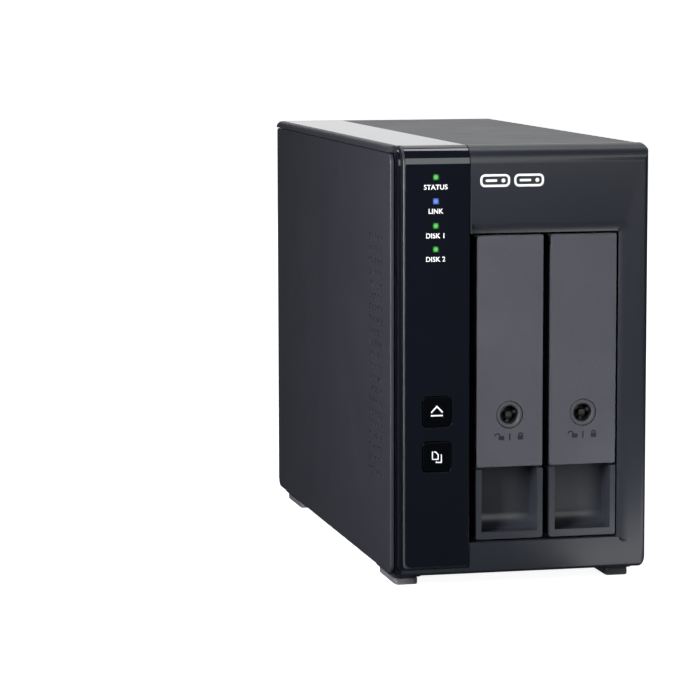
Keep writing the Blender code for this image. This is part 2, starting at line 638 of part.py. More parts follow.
def hinge_pocket():
    return [(PIVOT_Y - 6, PIVOT_Z - 3.0), (PIVOT_Y + 0.2, PIVOT_Z - 3.0), (PIVOT_Y + 3.2, PIVOT_Z - 1.5),
            (PIVOT_Y + 3.2, TRAY_TOP + 2), (PIVOT_Y - 6, TRAY_TOP + 2)]


def hinge_ear():
    radius = 1.25
    return [(PIVOT_Y + 3.0, PIVOT_Z - radius), *arc(HINGE, radius, 270, 90, 8),
            (PIVOT_Y + 3.0, PIVOT_Z + radius)]


def tray_handle(number, x):
    node = f"tray_handle_{number}"
    back = TRAY_FACE + 2.6
    profile = [(TRAY_FACE + 0.3, PLATE_BOTTOM), (TRAY_FACE, PLATE_BOTTOM + 0.3),
               *arc((TRAY_FACE + 1.2, TRAY_TOP - 1.2), 1.2, 180, 90, 3), (PIVOT_Y + 0.5, TRAY_TOP),
               (PIVOT_Y + 0.5, TRAY_TOP - 0.6), (back, PIVOT_Z + 1.4), (back, PLATE_BOTTOM)]
    plate = outline(node, profile, x - FACE_HALF, x + FACE_HALF, "X", "tray_grey", (x, PIVOT_Y, PIVOT_Z))
    soften(plate, 0.25)
    cut(plate, boxes(f"{node}_ear_room", [((x + side * 11.95 - 1.35, PIVOT_Y - 1.45, PIVOT_Z - 1.9),
                                           (x + side * 11.95 + 1.35, PIVOT_Y + 6, TRAY_TOP + 3))
                                          for side in (-1, 1)]))
    join(plate, cylinder(f"{node}_barrel", HINGE, 1.7, x - 10.3, x + 10.3, "X", sides=20))
    cut(plate, cylinder(f"{node}_pin_hole", HINGE, PIN_RADIUS + 0.1, x - 14, x + 14, "X", sides=16))
    grip = box(f"{node}_grip", (x - RECESS_HALF + 1, back - 0.5, PLATE_BOTTOM + 0.8),
               (x + RECESS_HALF - 1, back + 1.8, PLATE_BOTTOM + 2.6))
    join(plate, grip)
    cut(plate, cylinder(f"{node}_lock_hole", (x, LOCK_Z), LOCK_RING + 0.25, TRAY_FACE - 2, back + 2, "Y",
                        sides=32))
    return plate


LOCK_RING = 5.0


def tray_lock(number, x):
    node, face, centre = f"tray_lock_{number}", TRAY_FACE, (x, LOCK_Z)
    lock = cylinder(node, centre, LOCK_RING, face + 0.1, face + 2.6, "Y", "tray_satin", 32, 0.2,
                    (x, face, LOCK_Z))
    join(lock, cylinder(f"{node}_barrel", centre, 4.4, face + 2.0, face + 8.5, "Y", sides=24))
    cut(lock, cylinder(f"{node}_keyhole", centre, 3.4, face - 2, face + 6.5, "Y", sides=24))
    cam = box(f"{node}_cam", (x - 1.6, face + 8.0, LOCK_Z - 1.6), (x + 1.6, face + 9.4, LOCK_Z + 5.2))
    post = cylinder(f"{node}_post", centre, 1.3, face + 2.0, face + 7.0, "Y", sides=4)
    join(lock, cam, post)
    return lock


def hard_drive(number, x):
    node = f"hard_drive_{number}"
    half_x, half_z = DRIVE_THICK / 2, DRIVE_HEIGHT / 2
    body = slab(node, (x, DRIVE_MID_Z), half_x, half_z, (DRIVE_FRONT, DRIVE_BACK), "aluminium", 1.0)
    cut(body, box(f"{node}_connector_bay", (x - half_x + 2, DRIVE_BACK - 5.0, DRIVE_MID_Z - 42),
                  (x + 2, DRIVE_BACK + 2, DRIVE_MID_Z + 2)),
        box(f"{node}_cover_step", (x + half_x - 1.2, DRIVE_FRONT - 2, DRIVE_MID_Z - half_z + 3),
            (x + half_x + 2, DRIVE_FRONT + 6, DRIVE_MID_Z + half_z - 3)))
    return body


BACKPLANE_Y = 64.0


def electronics():
    backplane_back = BACKPLANE_Y + BOARD
    board = box("backplane_board", (-18.5, BACKPLANE_Y, 16.5), (39.5, backplane_back, 135.5), "circuit_green")
    cut(board, boxes("backplane_vents", [((x - 5, BACKPLANE_Y - 2, 84), (x + 9, BACKPLANE_Y + 4, 126))
                                         for x in BAY_CENTRES]))
    for number, x in enumerate(BAY_CENTRES, 1):
        box(f"sata_connector_{number}", (x - DRIVE_THICK / 2 + 3.5, DRIVE_BACK - 3.5, DRIVE_MID_Z - 40),
            (x - DRIVE_THICK / 2 + 9.5, BACKPLANE_Y - GAP, DRIVE_MID_Z), "connector", edge=0.4)
    box("main_board", (BOARD_X, -90.0, 12.0), (BOARD_X + BOARD, REAR_PANEL_Y - 3.0, 144.0), "circuit_green")
    top = BOARD_TOP
    box("controller_chip", (top, -10, 70), (top + 1.4, 14, 94), "chip")
    sink = box("heat_sink", (top + 1.4 + GAP, -12, 68), (top + 10.5, 16, 96), "aluminium")
    fins = [((top + 3.6, -14, 69.8 + i * 3.7), (top + 12, 18, 69.8 + i * 3.7 + 2.2)) for i in range(7)]
    cut(sink, boxes("heat_sink_gaps", fins))
    cylinder("capacitor", (40.0, 36.0), 5.0, top, top + 12.0, "X", "chip", 20, 0.5)
    box("board_link_connector", (top, BACKPLANE_Y - 4, 24), (top + 5.5, BACKPLANE_Y + 14, 60), "connector",
        edge=0.4)
    box("board_link_ribbon", (top + 5.5 + GAP, backplane_back + GAP, 26), (-4.0, backplane_back + 1.1, 58),
        "connector")


def rear_ports():
    usb_c_port()
    power_jack()
    power_button()
    mode_switches()


def usb_c_port():
    x, z, width, height = REAR_PORTS["usb_c_port"]
    half_x, half_z, wall, y = width / 2, height / 2, 0.35, REAR_PANEL_Y
    shell = rounded(*around((x, z), half_x, half_z), (1.7,) * 4)
    port = outline("usb_c_port", shell, y - 8, y + 2.2, "Y", "steel")
    socket = rounded(*around((x, z), half_x - wall, half_z - wall), (1.3,) * 4)
    cut(port, outline("usb_c_socket", socket, y - 5.5, y + 4, "Y"))
    join(port, slab("usb_c_tongue", (x, z), wall, 3.3, (y - 6.5, y + 1.2)))
    join(port, box("usb_c_base", (BOARD_TOP, y - 7.6, z - 3.6), (x - 0.6, y - 1.6, z + 3.6)))


def power_jack():
    x, z, width, height = REAR_PORTS["dc_power_jack"]
    half_x, half_z, y = width / 2, height / 2, REAR_PANEL_Y
    jack = box("dc_power_jack", (BOARD_TOP, y - 12, z - half_z), (x + half_x, y - 0.6, z + half_z),
               "connector")
    join(jack, slab("dc_jack_nose", (x, z), half_x, half_z, (y - 2, y + 2.2)))
    cut(jack, cylinder("dc_jack_bore", (x, z), 3.3, y - 9, y + 4, "Y", sides=24))
    join(jack, cylinder("dc_jack_pin", (x, z), 1.1, y - 10, y + 1.0, "Y", sides=16))


def power_button():
    x, z, width, height = REAR_PORTS["power_button"]
    face, y = rounded(*around((x, z), width / 2, height / 2), (1.5,) * 4), REAR_PANEL_Y
    stem_end = y - 2.6
    cap = outline("power_button", face, y - 0.4, y + 3.6, "Y", "matte_black", (x, y, z))
    join(cap, cylinder("power_button_stem", (x, z), 1.5, stem_end, y, "Y", sides=12))
    box("power_switch", (BOARD_TOP, y - 9.5, z - 3), (x + 3, stem_end - POWER_TRAVEL - GAP, z + 3), "chip",
        edge=0.3)


POWER_TRAVEL = 1.2
MODE_PITCH = 4.6


def mode_switches():
    x, z, width, height = REAR_PORTS["mode_switch_housing"]
    half_x, half_z, y = width / 2, height / 2, REAR_PANEL_Y
    housing = slab("mode_switch_housing", (x, z), half_x, half_z, (y - 5, y + 1.4), "connector")
    join(housing, box("mode_switch_base", (BOARD_TOP, y - 9, z - half_z + 0.4),
                      (x + half_x - 0.4, y - 4, z + half_z - 0.4)))
    for number in range(3):
        at = z + (number - 1) * MODE_PITCH
        cut(housing, slab(f"mode_switch_slot_{number + 1}", (x, at), 2.4, 1.5, (y - 1.6, y + 4)))
        slab(f"mode_slider_{number + 1}", (x - 1.0, at), 1.1, 1.2, (y - 1.3, y + 1.3), "light_green", 0.2)


def casing_screws():
    for number, spot in enumerate(CASING_SCREWS, 1):
        screw(f"casing_screw_{number}", spot, 2.9, 1.3, BACK - 0.1, 6.5, head=1.0)


def fan_lead():
    """The fan's lead, from its frame's corner across the back of the cage down to the main board."""
    path = [(-25.5, 94.0, 66.0), (-28.0, 90.0, 62.0), (-32.0, 86.0, 60.0), (-36.0, 84.0, 60.0),
            (-39.0, 84.0, 60.0)]
    curve = bpy.data.curves.new("fan_lead", "CURVE")
    curve.dimensions = "3D"
    curve.bevel_depth = 1.1 * MM
    curve.bevel_resolution = 2
    curve.use_fill_caps = True
    spline = curve.splines.new("POLY")
    spline.points.add(len(path) - 1)
    for point, spot in zip(spline.points, path):
        point.co = (*(v * MM for v in spot), 1.0)
    curve.materials.append(own_material("rubber", "fan_lead"))
    PARTS.objects.link(bpy.data.objects.new("fan_lead", curve))


casing()
feet()
left_side_cover()
front_bezel()
gloss_front_panel()
front_controls()
rear_panel()
fan()
drive_cage()
for bay, centre in enumerate(BAY_CENTRES, 1):
    tray(bay, centre)
electronics()
rear_ports()
casing_screws()
fan_lead()
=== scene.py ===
"""Looks of a desktop two-bay disk storage unit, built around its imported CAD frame.

Every length is in millimetres in the row frame (front towards -Y, +Z up) and turned into metres by MM.
"""
from math import cos, pi, radians, sin

import bmesh
import bpy
from mathutils import Matrix, Vector


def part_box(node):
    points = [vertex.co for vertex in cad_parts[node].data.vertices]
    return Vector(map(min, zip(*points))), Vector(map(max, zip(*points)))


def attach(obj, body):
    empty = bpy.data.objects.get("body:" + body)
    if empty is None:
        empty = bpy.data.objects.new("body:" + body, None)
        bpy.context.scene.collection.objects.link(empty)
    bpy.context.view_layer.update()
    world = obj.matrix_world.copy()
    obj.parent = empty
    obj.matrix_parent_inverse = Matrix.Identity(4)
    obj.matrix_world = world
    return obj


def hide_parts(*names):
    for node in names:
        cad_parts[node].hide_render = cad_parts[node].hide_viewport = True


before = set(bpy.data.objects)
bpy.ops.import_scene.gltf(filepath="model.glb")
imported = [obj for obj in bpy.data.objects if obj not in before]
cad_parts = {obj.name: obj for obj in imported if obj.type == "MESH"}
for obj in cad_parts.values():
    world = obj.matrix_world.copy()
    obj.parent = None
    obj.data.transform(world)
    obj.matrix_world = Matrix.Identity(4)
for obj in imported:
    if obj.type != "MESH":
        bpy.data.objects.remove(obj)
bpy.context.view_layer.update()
MM = 0.001


def reach(node):
    """Lowest and highest corner of a CAD node, in millimetres."""
    low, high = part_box(node)
    return Vector(low) / MM, Vector(high) / MM


# ---------------------------------------------------------------- mesh helpers


def new_object(name, mesh):
    thing = bpy.data.objects.new(name, mesh)
    bpy.context.scene.collection.objects.link(thing)
    return thing


def mesh_from(work, name):
    bmesh.ops.recalc_face_normals(work, faces=work.faces)
    mesh = bpy.data.meshes.new(name)
    work.to_mesh(mesh)
    work.free()
    return mesh


def box_mesh(pairs):
    """A mesh with one cube for each pair of low and high corners."""
    work = bmesh.new()
    for low, high in pairs:
        centre = [(a + b) / 2 * MM for a, b in zip(low, high)]
        size = [(b - a) * MM for a, b in zip(low, high)]
        place = Matrix.Translation(centre) @ Matrix.Diagonal((*size, 1.0))
        bmesh.ops.create_cube(work, size=1.0, matrix=place)
    return mesh_from(work, "box")


# Turns a cylinder along Z to the named axis.
TURN_TO = {"X": Matrix.Rotation(pi / 2, 4, "Y"), "Y": Matrix.Rotation(-pi / 2, 4, "X"), "Z": Matrix()}


def cylinder_mesh(spots, radius, start, end, axis, sides=64):
    """A mesh with one cylinder for each spot, from start to end along an axis."""
    work = bmesh.new()
    for a, b in spots:
        middle = (start + end) / 2
        centre = Vector({"X": (middle, a, b), "Y": (a, middle, b), "Z": (a, b, middle)}[axis]) * MM
        bmesh.ops.create_cone(work, cap_ends=True, segments=sides, radius1=radius * MM, radius2=radius * MM,
                              depth=(end - start) * MM, matrix=Matrix.Translation(centre) @ TURN_TO[axis])
    return mesh_from(work, "cylinder")


def arc(centre, radius, start, end, steps=12):
    """Points along an arc between two angles in degrees."""
    return [(centre[0] + radius * cos(radians(start + (end - start) * i / steps)),
             centre[1] + radius * sin(radians(start + (end - start) * i / steps))) for i in range(steps + 1)]


def rounded(low, high, radii, steps=10):
    """A rectangle with one corner radius, or with one each from lower right anticlockwise to lower left."""
    radii = (radii,) * 4 if isinstance(radii, float) else radii
    corners = [(high[0], low[1], -1, 1, -90), (high[0], high[1], -1, -1, 0),
               (low[0], high[1], 1, -1, 90), (low[0], low[1], 1, 1, 180)]
    points = []
    for (x, z, sx, sz, turn), radius in zip(corners, radii):
        centre = (x + sx * radius, z + sz * radius)
        points += arc(centre, radius, turn, turn + 90, steps) if radius else [(x, z)]
    return points


# Turns a flat shape with its depth along Z into one with its depth along the named axis.
PLANES = {
    "X": Matrix(((0, 0, 1, 0), (1, 0, 0, 0), (0, 1, 0, 0), (0, 0, 0, 1))),
    "Y": Matrix(((1, 0, 0, 0), (0, 0, -1, 0), (0, 1, 0, 0), (0, 0, 0, 1))),
    "Z": Matrix(),
}


def outline_mesh(rings, start, end, axis="Y"):
    """Flat outlines pushed along an axis: in (y, z) for X, in (x, z) for Y and in (x, y) for Z."""
    curve = bpy.data.curves.new("outline", "CURVE")
    curve.dimensions = "2D"
    curve.fill_mode = "BOTH"
    curve.extrude = (end - start) / 2 * MM
    for ring in rings:
        spline = curve.splines.new("POLY")
        spline.points.add(len(ring) - 1)
        for point, (a, b) in zip(spline.points, ring):
            point.co = (a * MM, b * MM, 0.0, 1.0)
        spline.use_cyclic_u = True
    shape = new_object("outline", curve)
    bpy.context.view_layer.update()
    mesh = bpy.data.meshes.new_from_object(shape.evaluated_get(bpy.context.evaluated_depsgraph_get()))
    bpy.data.objects.remove(shape, do_unlink=True)
    bpy.data.curves.remove(curve)
    work = bmesh.new()
    work.from_mesh(mesh)
    bpy.data.meshes.remove(mesh)
    bmesh.ops.remove_doubles(work, verts=work.verts, dist=0.0000005)
    bmesh.ops.dissolve_limit(work, angle_limit=radians(0.5), verts=work.verts, edges=work.edges)
    middle = (start + end) / 2 * MM
    shift = Matrix.Translation({"X": (middle, 0, 0), "Y": (0, middle, 0), "Z": (0, 0, middle)}[axis])
    bmesh.ops.transform(work, matrix=shift @ PLANES[axis], verts=work.verts)
    return mesh_from(work, "outline")


def outline(points, start, end, axis="Y"):
    return outline_mesh([points], start, end, axis)


def baked(thing):
    """The object's evaluated mesh, with its modifiers applied."""
    bpy.context.view_layer.update()
    done = bpy.data.meshes.new_from_object(thing.evaluated_get(bpy.context.evaluated_depsgraph_get()))
    thing.modifiers.clear()
    thing.data = done
    return thing


STEPS = {"cut": "DIFFERENCE", "join": "UNION", "keep": "INTERSECT"}
SHARP_ANGLE, BEVEL_ANGLE = radians(32), radians(30)


def apply_steps(thing, steps):
    """Apply Boolean steps, each a pair of "cut", "join" or "keep" and the mesh to do it with."""
    for kind, tool in steps:
        cutter = new_object("tool", tool)
        boolean = thing.modifiers.new("boolean", "BOOLEAN")
        boolean.operation = STEPS[kind]
        boolean.solver = "EXACT"
        boolean.object = cutter
        baked(thing)
        bpy.data.objects.remove(cutter, do_unlink=True)


def shaped(name, mesh, steps=(), edge=0.0, segments=2):
    """A finished piece: a base mesh, Boolean steps, then softened edges."""
    thing = new_object(name, mesh)
    apply_steps(thing, steps)
    work = bmesh.new()
    work.from_mesh(thing.data)
    bmesh.ops.remove_doubles(work, verts=work.verts, dist=0.000002)
    bmesh.ops.dissolve_limit(work, angle_limit=radians(0.4), verts=work.verts, edges=work.edges)
    work.to_mesh(thing.data)
    work.free()
    if edge:
        bevel = thing.modifiers.new("edge", "BEVEL")
        bevel.width = edge * MM
        bevel.segments = segments
        bevel.limit_method = "ANGLE"
        bevel.angle_limit = BEVEL_ANGLE
        bevel.use_clamp_overlap = True
        bevel.harden_normals = False
        baked(thing)
    thing.data.shade_smooth()
    thing.data.set_sharp_from_angle(angle=SHARP_ANGLE)
    weighted = thing.modifiers.new("normals", "WEIGHTED_NORMAL")
    weighted.keep_sharp = True
    baked(thing)
    return thing


def finish_piece(thing, look, body, slot, *nodes):
    """Give a piece its material and body, and let it stand for CAD nodes."""
    thing.data.materials.clear()
    thing.data.materials.append(LOOKS[look])
    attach(thing, body)
    if nodes:
        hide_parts(*nodes)
    return thing


# ---------------------------------------------------------------- materials


def surface(name, colour, roughness, grain=None, mottle=0.0, metallic=0.0, specular=0.5, rough_shift=0.0,
            scratch=0.0):
    """A Principled material with its own fine texture.

    grain: (cells per millimetre, bump strength) of the moulded or sprayed texture
    mottle: how far the colour wanders in slow patches, as a share of itself
    rough_shift: how far the roughness wanders in slow patches, as from handling
    scratch: strength of a fine brushed or scuffed direction along Z
    """
    look = bpy.data.materials.new(name)
    look.use_nodes = True
    tree = look.node_tree
    shader = tree.nodes["Principled BSDF"]
    shader.inputs["Metallic"].default_value = metallic
    shader.inputs["Specular IOR Level"].default_value = specular
    shader.inputs["Roughness"].default_value = roughness
    place = tree.nodes.new("ShaderNodeTexCoord")
    slow = tree.nodes.new("ShaderNodeTexNoise")
    slow.inputs["Scale"].default_value = 38.0
    slow.inputs["Detail"].default_value = 5.0
    slow.inputs["Roughness"].default_value = 0.62
    tree.links.new(place.outputs["Object"], slow.inputs["Vector"])
    ramp = tree.nodes.new("ShaderNodeValToRGB")
    ramp.color_ramp.elements[0].position = 0.30
    ramp.color_ramp.elements[1].position = 0.72
    ramp.color_ramp.elements[0].color = (*[c * (1 - mottle) for c in colour], 1.0)
    ramp.color_ramp.elements[1].color = (*[min(1.0, c * (1 + mottle)) for c in colour], 1.0)
    tree.links.new(slow.outputs["Fac"], ramp.inputs["Fac"])
    tree.links.new(ramp.outputs["Color"], shader.inputs["Base Color"])
    if rough_shift:
        spread = tree.nodes.new("ShaderNodeMapRange")
        spread.inputs["From Min"].default_value = 0.3
        spread.inputs["From Max"].default_value = 0.7
        spread.inputs["To Min"].default_value = max(0.0, roughness - rough_shift)
        spread.inputs["To Max"].default_value = min(1.0, roughness + rough_shift)
        tree.links.new(slow.outputs["Fac"], spread.inputs["Value"])
        tree.links.new(spread.outputs["Result"], shader.inputs["Roughness"])
    height = None
    if grain:
        cells, strength = grain
        fine = tree.nodes.new("ShaderNodeTexNoise")
        fine.inputs["Scale"].default_value = cells * 1000.0
        fine.inputs["Detail"].default_value = 3.0
        fine.inputs["Roughness"].default_value = 0.55
        tree.links.new(place.outputs["Object"], fine.inputs["Vector"])
        height = bump_after(tree, fine.outputs["Fac"], strength, 0.00025, None)
    if scratch:
        stretch = tree.nodes.new("ShaderNodeMapping")
        stretch.inputs["Scale"].default_value = (1.0, 1.0, 0.02)
        tree.links.new(place.outputs["Object"], stretch.inputs["Vector"])
        lines = tree.nodes.new("ShaderNodeTexNoise")
        lines.inputs["Scale"].default_value = 2600.0
        lines.inputs["Detail"].default_value = 2.0
        tree.links.new(stretch.outputs["Vector"], lines.inputs["Vector"])
        height = bump_after(tree, lines.outputs["Fac"], scratch, 0.0001, height)
    if height is not None:
        tree.links.new(height, shader.inputs["Normal"])
    return look


def bump_after(tree, value, strength, distance, before):
    """A bump node on top of an earlier one, if there is one."""
    bump = tree.nodes.new("ShaderNodeBump")
    bump.inputs["Strength"].default_value = strength
    bump.inputs["Distance"].default_value = distance
    tree.links.new(value, bump.inputs["Height"])
    if before is not None:
        tree.links.new(before, bump.inputs["Normal"])
    return bump.outputs["Normal"]


def lit(name, rim, core, power):
    """A lit light guide: brighter in its middle than at its rim."""
    look = surface(name, rim, 0.30, grain=(3.0, 0.10), mottle=0.10)
    tree = look.node_tree
    shader = tree.nodes["Principled BSDF"]
    place = tree.nodes.new("ShaderNodeTexCoord")
    centred = tree.nodes.new("ShaderNodeMapping")
    centred.inputs["Location"].default_value = (-0.75, 0.0, -0.75)
    centred.inputs["Scale"].default_value = (1.5, 0.0, 1.5)
    spread = tree.nodes.new("ShaderNodeTexGradient")
    spread.gradient_type = "SPHERICAL"
    ramp = tree.nodes.new("ShaderNodeValToRGB")
    ramp.color_ramp.elements[0].position = 0.15
    ramp.color_ramp.elements[1].position = 0.62
    ramp.color_ramp.elements[0].color = (*rim, 1.0)
    ramp.color_ramp.elements[1].color = (*core, 1.0)
    tree.links.new(place.outputs["Generated"], centred.inputs["Vector"])
    tree.links.new(centred.outputs["Vector"], spread.inputs["Vector"])
    tree.links.new(spread.outputs["Fac"], ramp.inputs["Fac"])
    tree.links.new(ramp.outputs["Color"], shader.inputs["Emission Color"])
    shader.inputs["Emission Strength"].default_value = power
    return look


# Each look's colour, roughness and fine texture.
SURFACES = {
    "casing": ((0.0300, 0.0305, 0.0385), 0.44, dict(grain=(2.6, 0.16), mottle=0.05, rough_shift=0.03)),
    "bezel": ((0.0165, 0.0187, 0.0250), 0.30, dict(grain=(3.4, 0.14), mottle=0.02, rough_shift=0.004)),
    "gloss": ((0.0034, 0.0044, 0.0076), 0.045,
              dict(grain=(0.05, 0.010), mottle=0.04, rough_shift=0.012, specular=0.8)),
    "lip": ((0.0300, 0.0310, 0.0370), 0.40, dict(grain=(3.4, 0.10), mottle=0.05, rough_shift=0.03)),
    "button": ((0.0006, 0.0008, 0.0016), 0.30, dict(grain=(2.4, 0.06), mottle=0.05, specular=0.10)),
    "tray_plate": ((0.0640, 0.0655, 0.0780), 0.62, dict(grain=(1.9, 0.55), mottle=0.07, specular=0.35)),
    "tray_satin": ((0.0260, 0.0285, 0.0365), 0.34, dict(grain=(4.0, 0.06), mottle=0.04, rough_shift=0.03)),
    "lock": ((0.0600, 0.0615, 0.0730), 0.55, dict(grain=(3.0, 0.25), mottle=0.06, specular=0.35)),
    "socket": ((0.0060, 0.0062, 0.0075), 0.35, dict(grain=(1.6, 0.35), mottle=0.25)),
    "rubber": ((0.1700, 0.1680, 0.1780), 0.80, dict(grain=(1.4, 0.40), mottle=0.12, specular=0.3)),
    "steel": ((0.56, 0.57, 0.59), 0.36,
              dict(grain=(0.35, 0.10), mottle=0.10, metallic=1.0, rough_shift=0.08, scratch=0.10)),
    "pin": ((0.62, 0.62, 0.64), 0.24, dict(grain=(2.0, 0.05), mottle=0.05, metallic=1.0)),
    "black_zinc": ((0.035, 0.035, 0.040), 0.34, dict(grain=(2.2, 0.12), mottle=0.12, metallic=0.85)),
    "cast_alloy": ((0.33, 0.335, 0.35), 0.46,
                   dict(grain=(1.1, 0.30), mottle=0.07, metallic=1.0, rough_shift=0.05)),
    "drive_lid": ((0.62, 0.63, 0.65), 0.30,
                  dict(grain=(0.8, 0.06), mottle=0.04, metallic=1.0, rough_shift=0.05, scratch=0.06)),
    "sink": ((0.60, 0.61, 0.63), 0.34, dict(grain=(1.6, 0.10), mottle=0.05, metallic=1.0, scratch=0.10)),
    "board": ((0.008, 0.068, 0.030), 0.36, dict(grain=(0.55, 0.22), mottle=0.28, rough_shift=0.06)),
    "connector": ((0.014, 0.014, 0.015), 0.48, dict(grain=(2.4, 0.15), mottle=0.10)),
    "plated": ((0.72, 0.72, 0.74), 0.20,
               dict(grain=(1.0, 0.06), mottle=0.06, metallic=1.0, rough_shift=0.06)),
    "gold": ((0.83, 0.60, 0.22), 0.24, dict(grain=(1.0, 0.05), mottle=0.06, metallic=1.0)),
    "chip": ((0.017, 0.017, 0.018), 0.52, dict(grain=(2.0, 0.25), mottle=0.08)),
    "slider": ((0.72, 0.72, 0.69), 0.42, dict(grain=(2.4, 0.10), mottle=0.04)),
    "fan": ((0.015, 0.015, 0.017), 0.38, dict(grain=(2.6, 0.14), mottle=0.08, rough_shift=0.04)),
    "sleeve": ((0.010, 0.010, 0.011), 0.40, dict(grain=(1.2, 0.10), mottle=0.10)),
    "white_ink": ((0.93, 0.94, 0.95), 0.46, dict(grain=(2.0, 0.05), mottle=0.03)),
    "black_ink": ((0.0015, 0.0015, 0.0020), 0.60, dict(grain=(2.0, 0.05), mottle=0.10)),
    "label": ((0.78, 0.78, 0.76), 0.55, dict(grain=(1.0, 0.05), mottle=0.03)),
}
LOOKS = {name: surface(name, colour, roughness, **texture)
         for name, (colour, roughness, texture) in SURFACES.items()}
LOOKS["light_green"] = lit("light_green", (0.002, 0.060, 0.003), (0.12, 0.62, 0.12), 1.0)
LOOKS["light_blue"] = lit("light_blue", (0.025, 0.050, 0.24), (0.13, 0.25, 0.62), 1.0)


# ---------------------------------------------------------------- shared sizes, read from the CAD frame

(SHELL_LOW, SHELL_HIGH), (BEZEL_LOW, BEZEL_HIGH) = reach("main_shell"), reach("front_bezel")
GLOSS_LOW, GLOSS_HIGH = reach("gloss_front_panel")
COVER_LOW, COVER_HIGH = reach("left_side_cover")
STRIP_LOW, STRIP_HIGH = reach("top_gloss_strip")
LEFT, RIGHT, TOP, BACK = SHELL_LOW.x, SHELL_HIGH.x, SHELL_HIGH.z, SHELL_HIGH.y
FRONT, SEAM, BASE = BEZEL_LOW.y, BEZEL_HIGH.y, BEZEL_LOW.z
REAR_LOW, REAR_HIGH = reach("rear_panel")
PLATE_LOW, PLATE_HIGH = reach("tray_handle_1")
TRAY_LOW, TRAY_HIGH = reach("tray_body_1")
GAP, WALL = 0.3, 2.0                # clearance between two pieces, thickness of the main shell
COVER_SHEET = 1.7                   # thickness of the left side cover
ROUND = 7.0                         # radius of the front's top edge
LOCK_Z = 65.7                       # height of both key locks


def middle(node):
    low, high = reach(node)
    return (low + high) / 2


FEET = ("foot_front_left", "foot_front_right", "foot_rear_left", "foot_rear_right")
LIGHTS = ("light_guide_status", "light_guide_link", "light_guide_disk_1", "light_guide_disk_2")
LIGHT_SPOTS = [(middle(node).x, middle(node).z) for node in LIGHTS]
BUTTON_SPOTS = {name: (middle(name).x, middle(name).z) for name in ("eject_button", "copy_button")}
FAN = middle("fan_rotor")
FAN_SPOTS = [(middle(f"fan_screw_{i}").x, middle(f"fan_screw_{i}").z) for i in (1, 2, 3, 4)]
CASE_SPOTS = [(middle(f"casing_screw_{i}").x, middle(f"casing_screw_{i}").z) for i in (1, 2, 3)]
# Centre (x, z) of each rear opening, then its width, height and corner radius.
PORTS = {"usb": (-33.0, 34.0), "jack": (-32.0, 18.0), "power": (-29.0, 57.0), "mode": (-29.0, 78.0),
         "lock": (30.0, 22.0)}
PORT_SIZES = {"usb": (3.6, 9.4, 2.0), "jack": (9.0, 11.0, 0.6), "power": (7.0, 7.0, 1.8),
              "mode": (6.0, 16.0, 0.6), "lock": (6.5, 2.4, 0.9)}
# Sides of the opening that both bays share.
BAY = {"left": GLOSS_HIGH.x + GAP + 0.6, "right": 38.7, "bottom": 17.4, "top": 134.9}


# ---------------------------------------------------------------- casing

VENT_ROWS, VENT_COLUMNS = 21, 5
VENT_FIRST, VENT_PITCH = (-90.4, 131.7), (4.7, 4.5)     # the upper front vent's (y, z), and the steps from it


def main_shell():
    """The folded cover: top, right side and underside in one, with a collar over each foot."""
    low, lip = BASE, COVER_HIGH.z + GAP
    side = LEFT + COVER_SHEET
    outer = [(LEFT, lip), *arc((LEFT + 2.6, TOP - 2.6), 2.6, 180, 90),
             *arc((RIGHT - 3.5, TOP - 3.5), 3.5, 90, 0), *arc((RIGHT - 5.0, low + 5.0), 5.0, 0, -90),
             (side + GAP, low), (side + GAP, low + WALL)]
    inner = [*arc((RIGHT - 5.0, low + 5.0), 5.0 - WALL, -90, 0), *arc((RIGHT - 3.5, TOP - 3.5), 1.5, 0, 90),
             (LEFT + WALL, TOP - WALL), (LEFT + WALL, lip)]
    steps = [("cut", box_mesh([((STRIP_LOW.x - GAP, SEAM - 5, STRIP_LOW.z - GAP),
                                (STRIP_HIGH.x + GAP, STRIP_HIGH.y + GAP, TOP + 5))]))]
    for node in FEET:
        foot_low, foot_high = reach(node)
        pad = rounded((foot_low.x - 1.0, foot_low.y - 1.0), (foot_high.x + 1.0, foot_high.y + 1.0), 1.2, 5)
        steps.append(("join", outline(pad, foot_high.z + GAP, low + WALL / 2, "Z")))
    shell = shaped("shell", outline(outer + inner, SEAM + GAP, BACK), steps, edge=0.35, segments=3)
    finish_piece(shell, "casing", "case", "casing_black", "main_shell")


def side_cover():
    """The left side plate, with its field of vents and the flange its screws hold."""
    inside = LEFT + COVER_SHEET
    plate = rounded((COVER_LOW.y, COVER_LOW.z), (COVER_HIGH.y, COVER_HIGH.z), (4, 1.5, 4, 4))
    cover = shaped("side_plate", outline(plate, LEFT, inside, "X"), edge=0.5, segments=3)
    slots = []
    for row in range(VENT_ROWS):
        for column in range(VENT_COLUMNS):
            y, z = VENT_FIRST[0] + column * VENT_PITCH[0], VENT_FIRST[1] - row * VENT_PITCH[1]
            slots.append(rounded((y - 0.85, z - 1.2), (y + 0.85, z + 1.2), 0.45, 2))
    flange = box_mesh([((inside - 0.5, REAR_HIGH.y + GAP, 12),
                        (-38.0, COVER_HIGH.y - 0.4, COVER_HIGH.z - 6))])
    bores = cylinder_mesh(CASE_SPOTS, 1.8, REAR_LOW.y, BACK + 1, "Y", 24)
    vents = outline_mesh(slots, LEFT - 1, inside + 1, "X")
    apply_steps(cover, [("cut", vents), ("join", flange), ("cut", bores)])
    cover.data.set_sharp_from_angle(angle=SHARP_ANGLE)
    finish_piece(cover, "casing", "case", "casing_black", "left_side_cover")


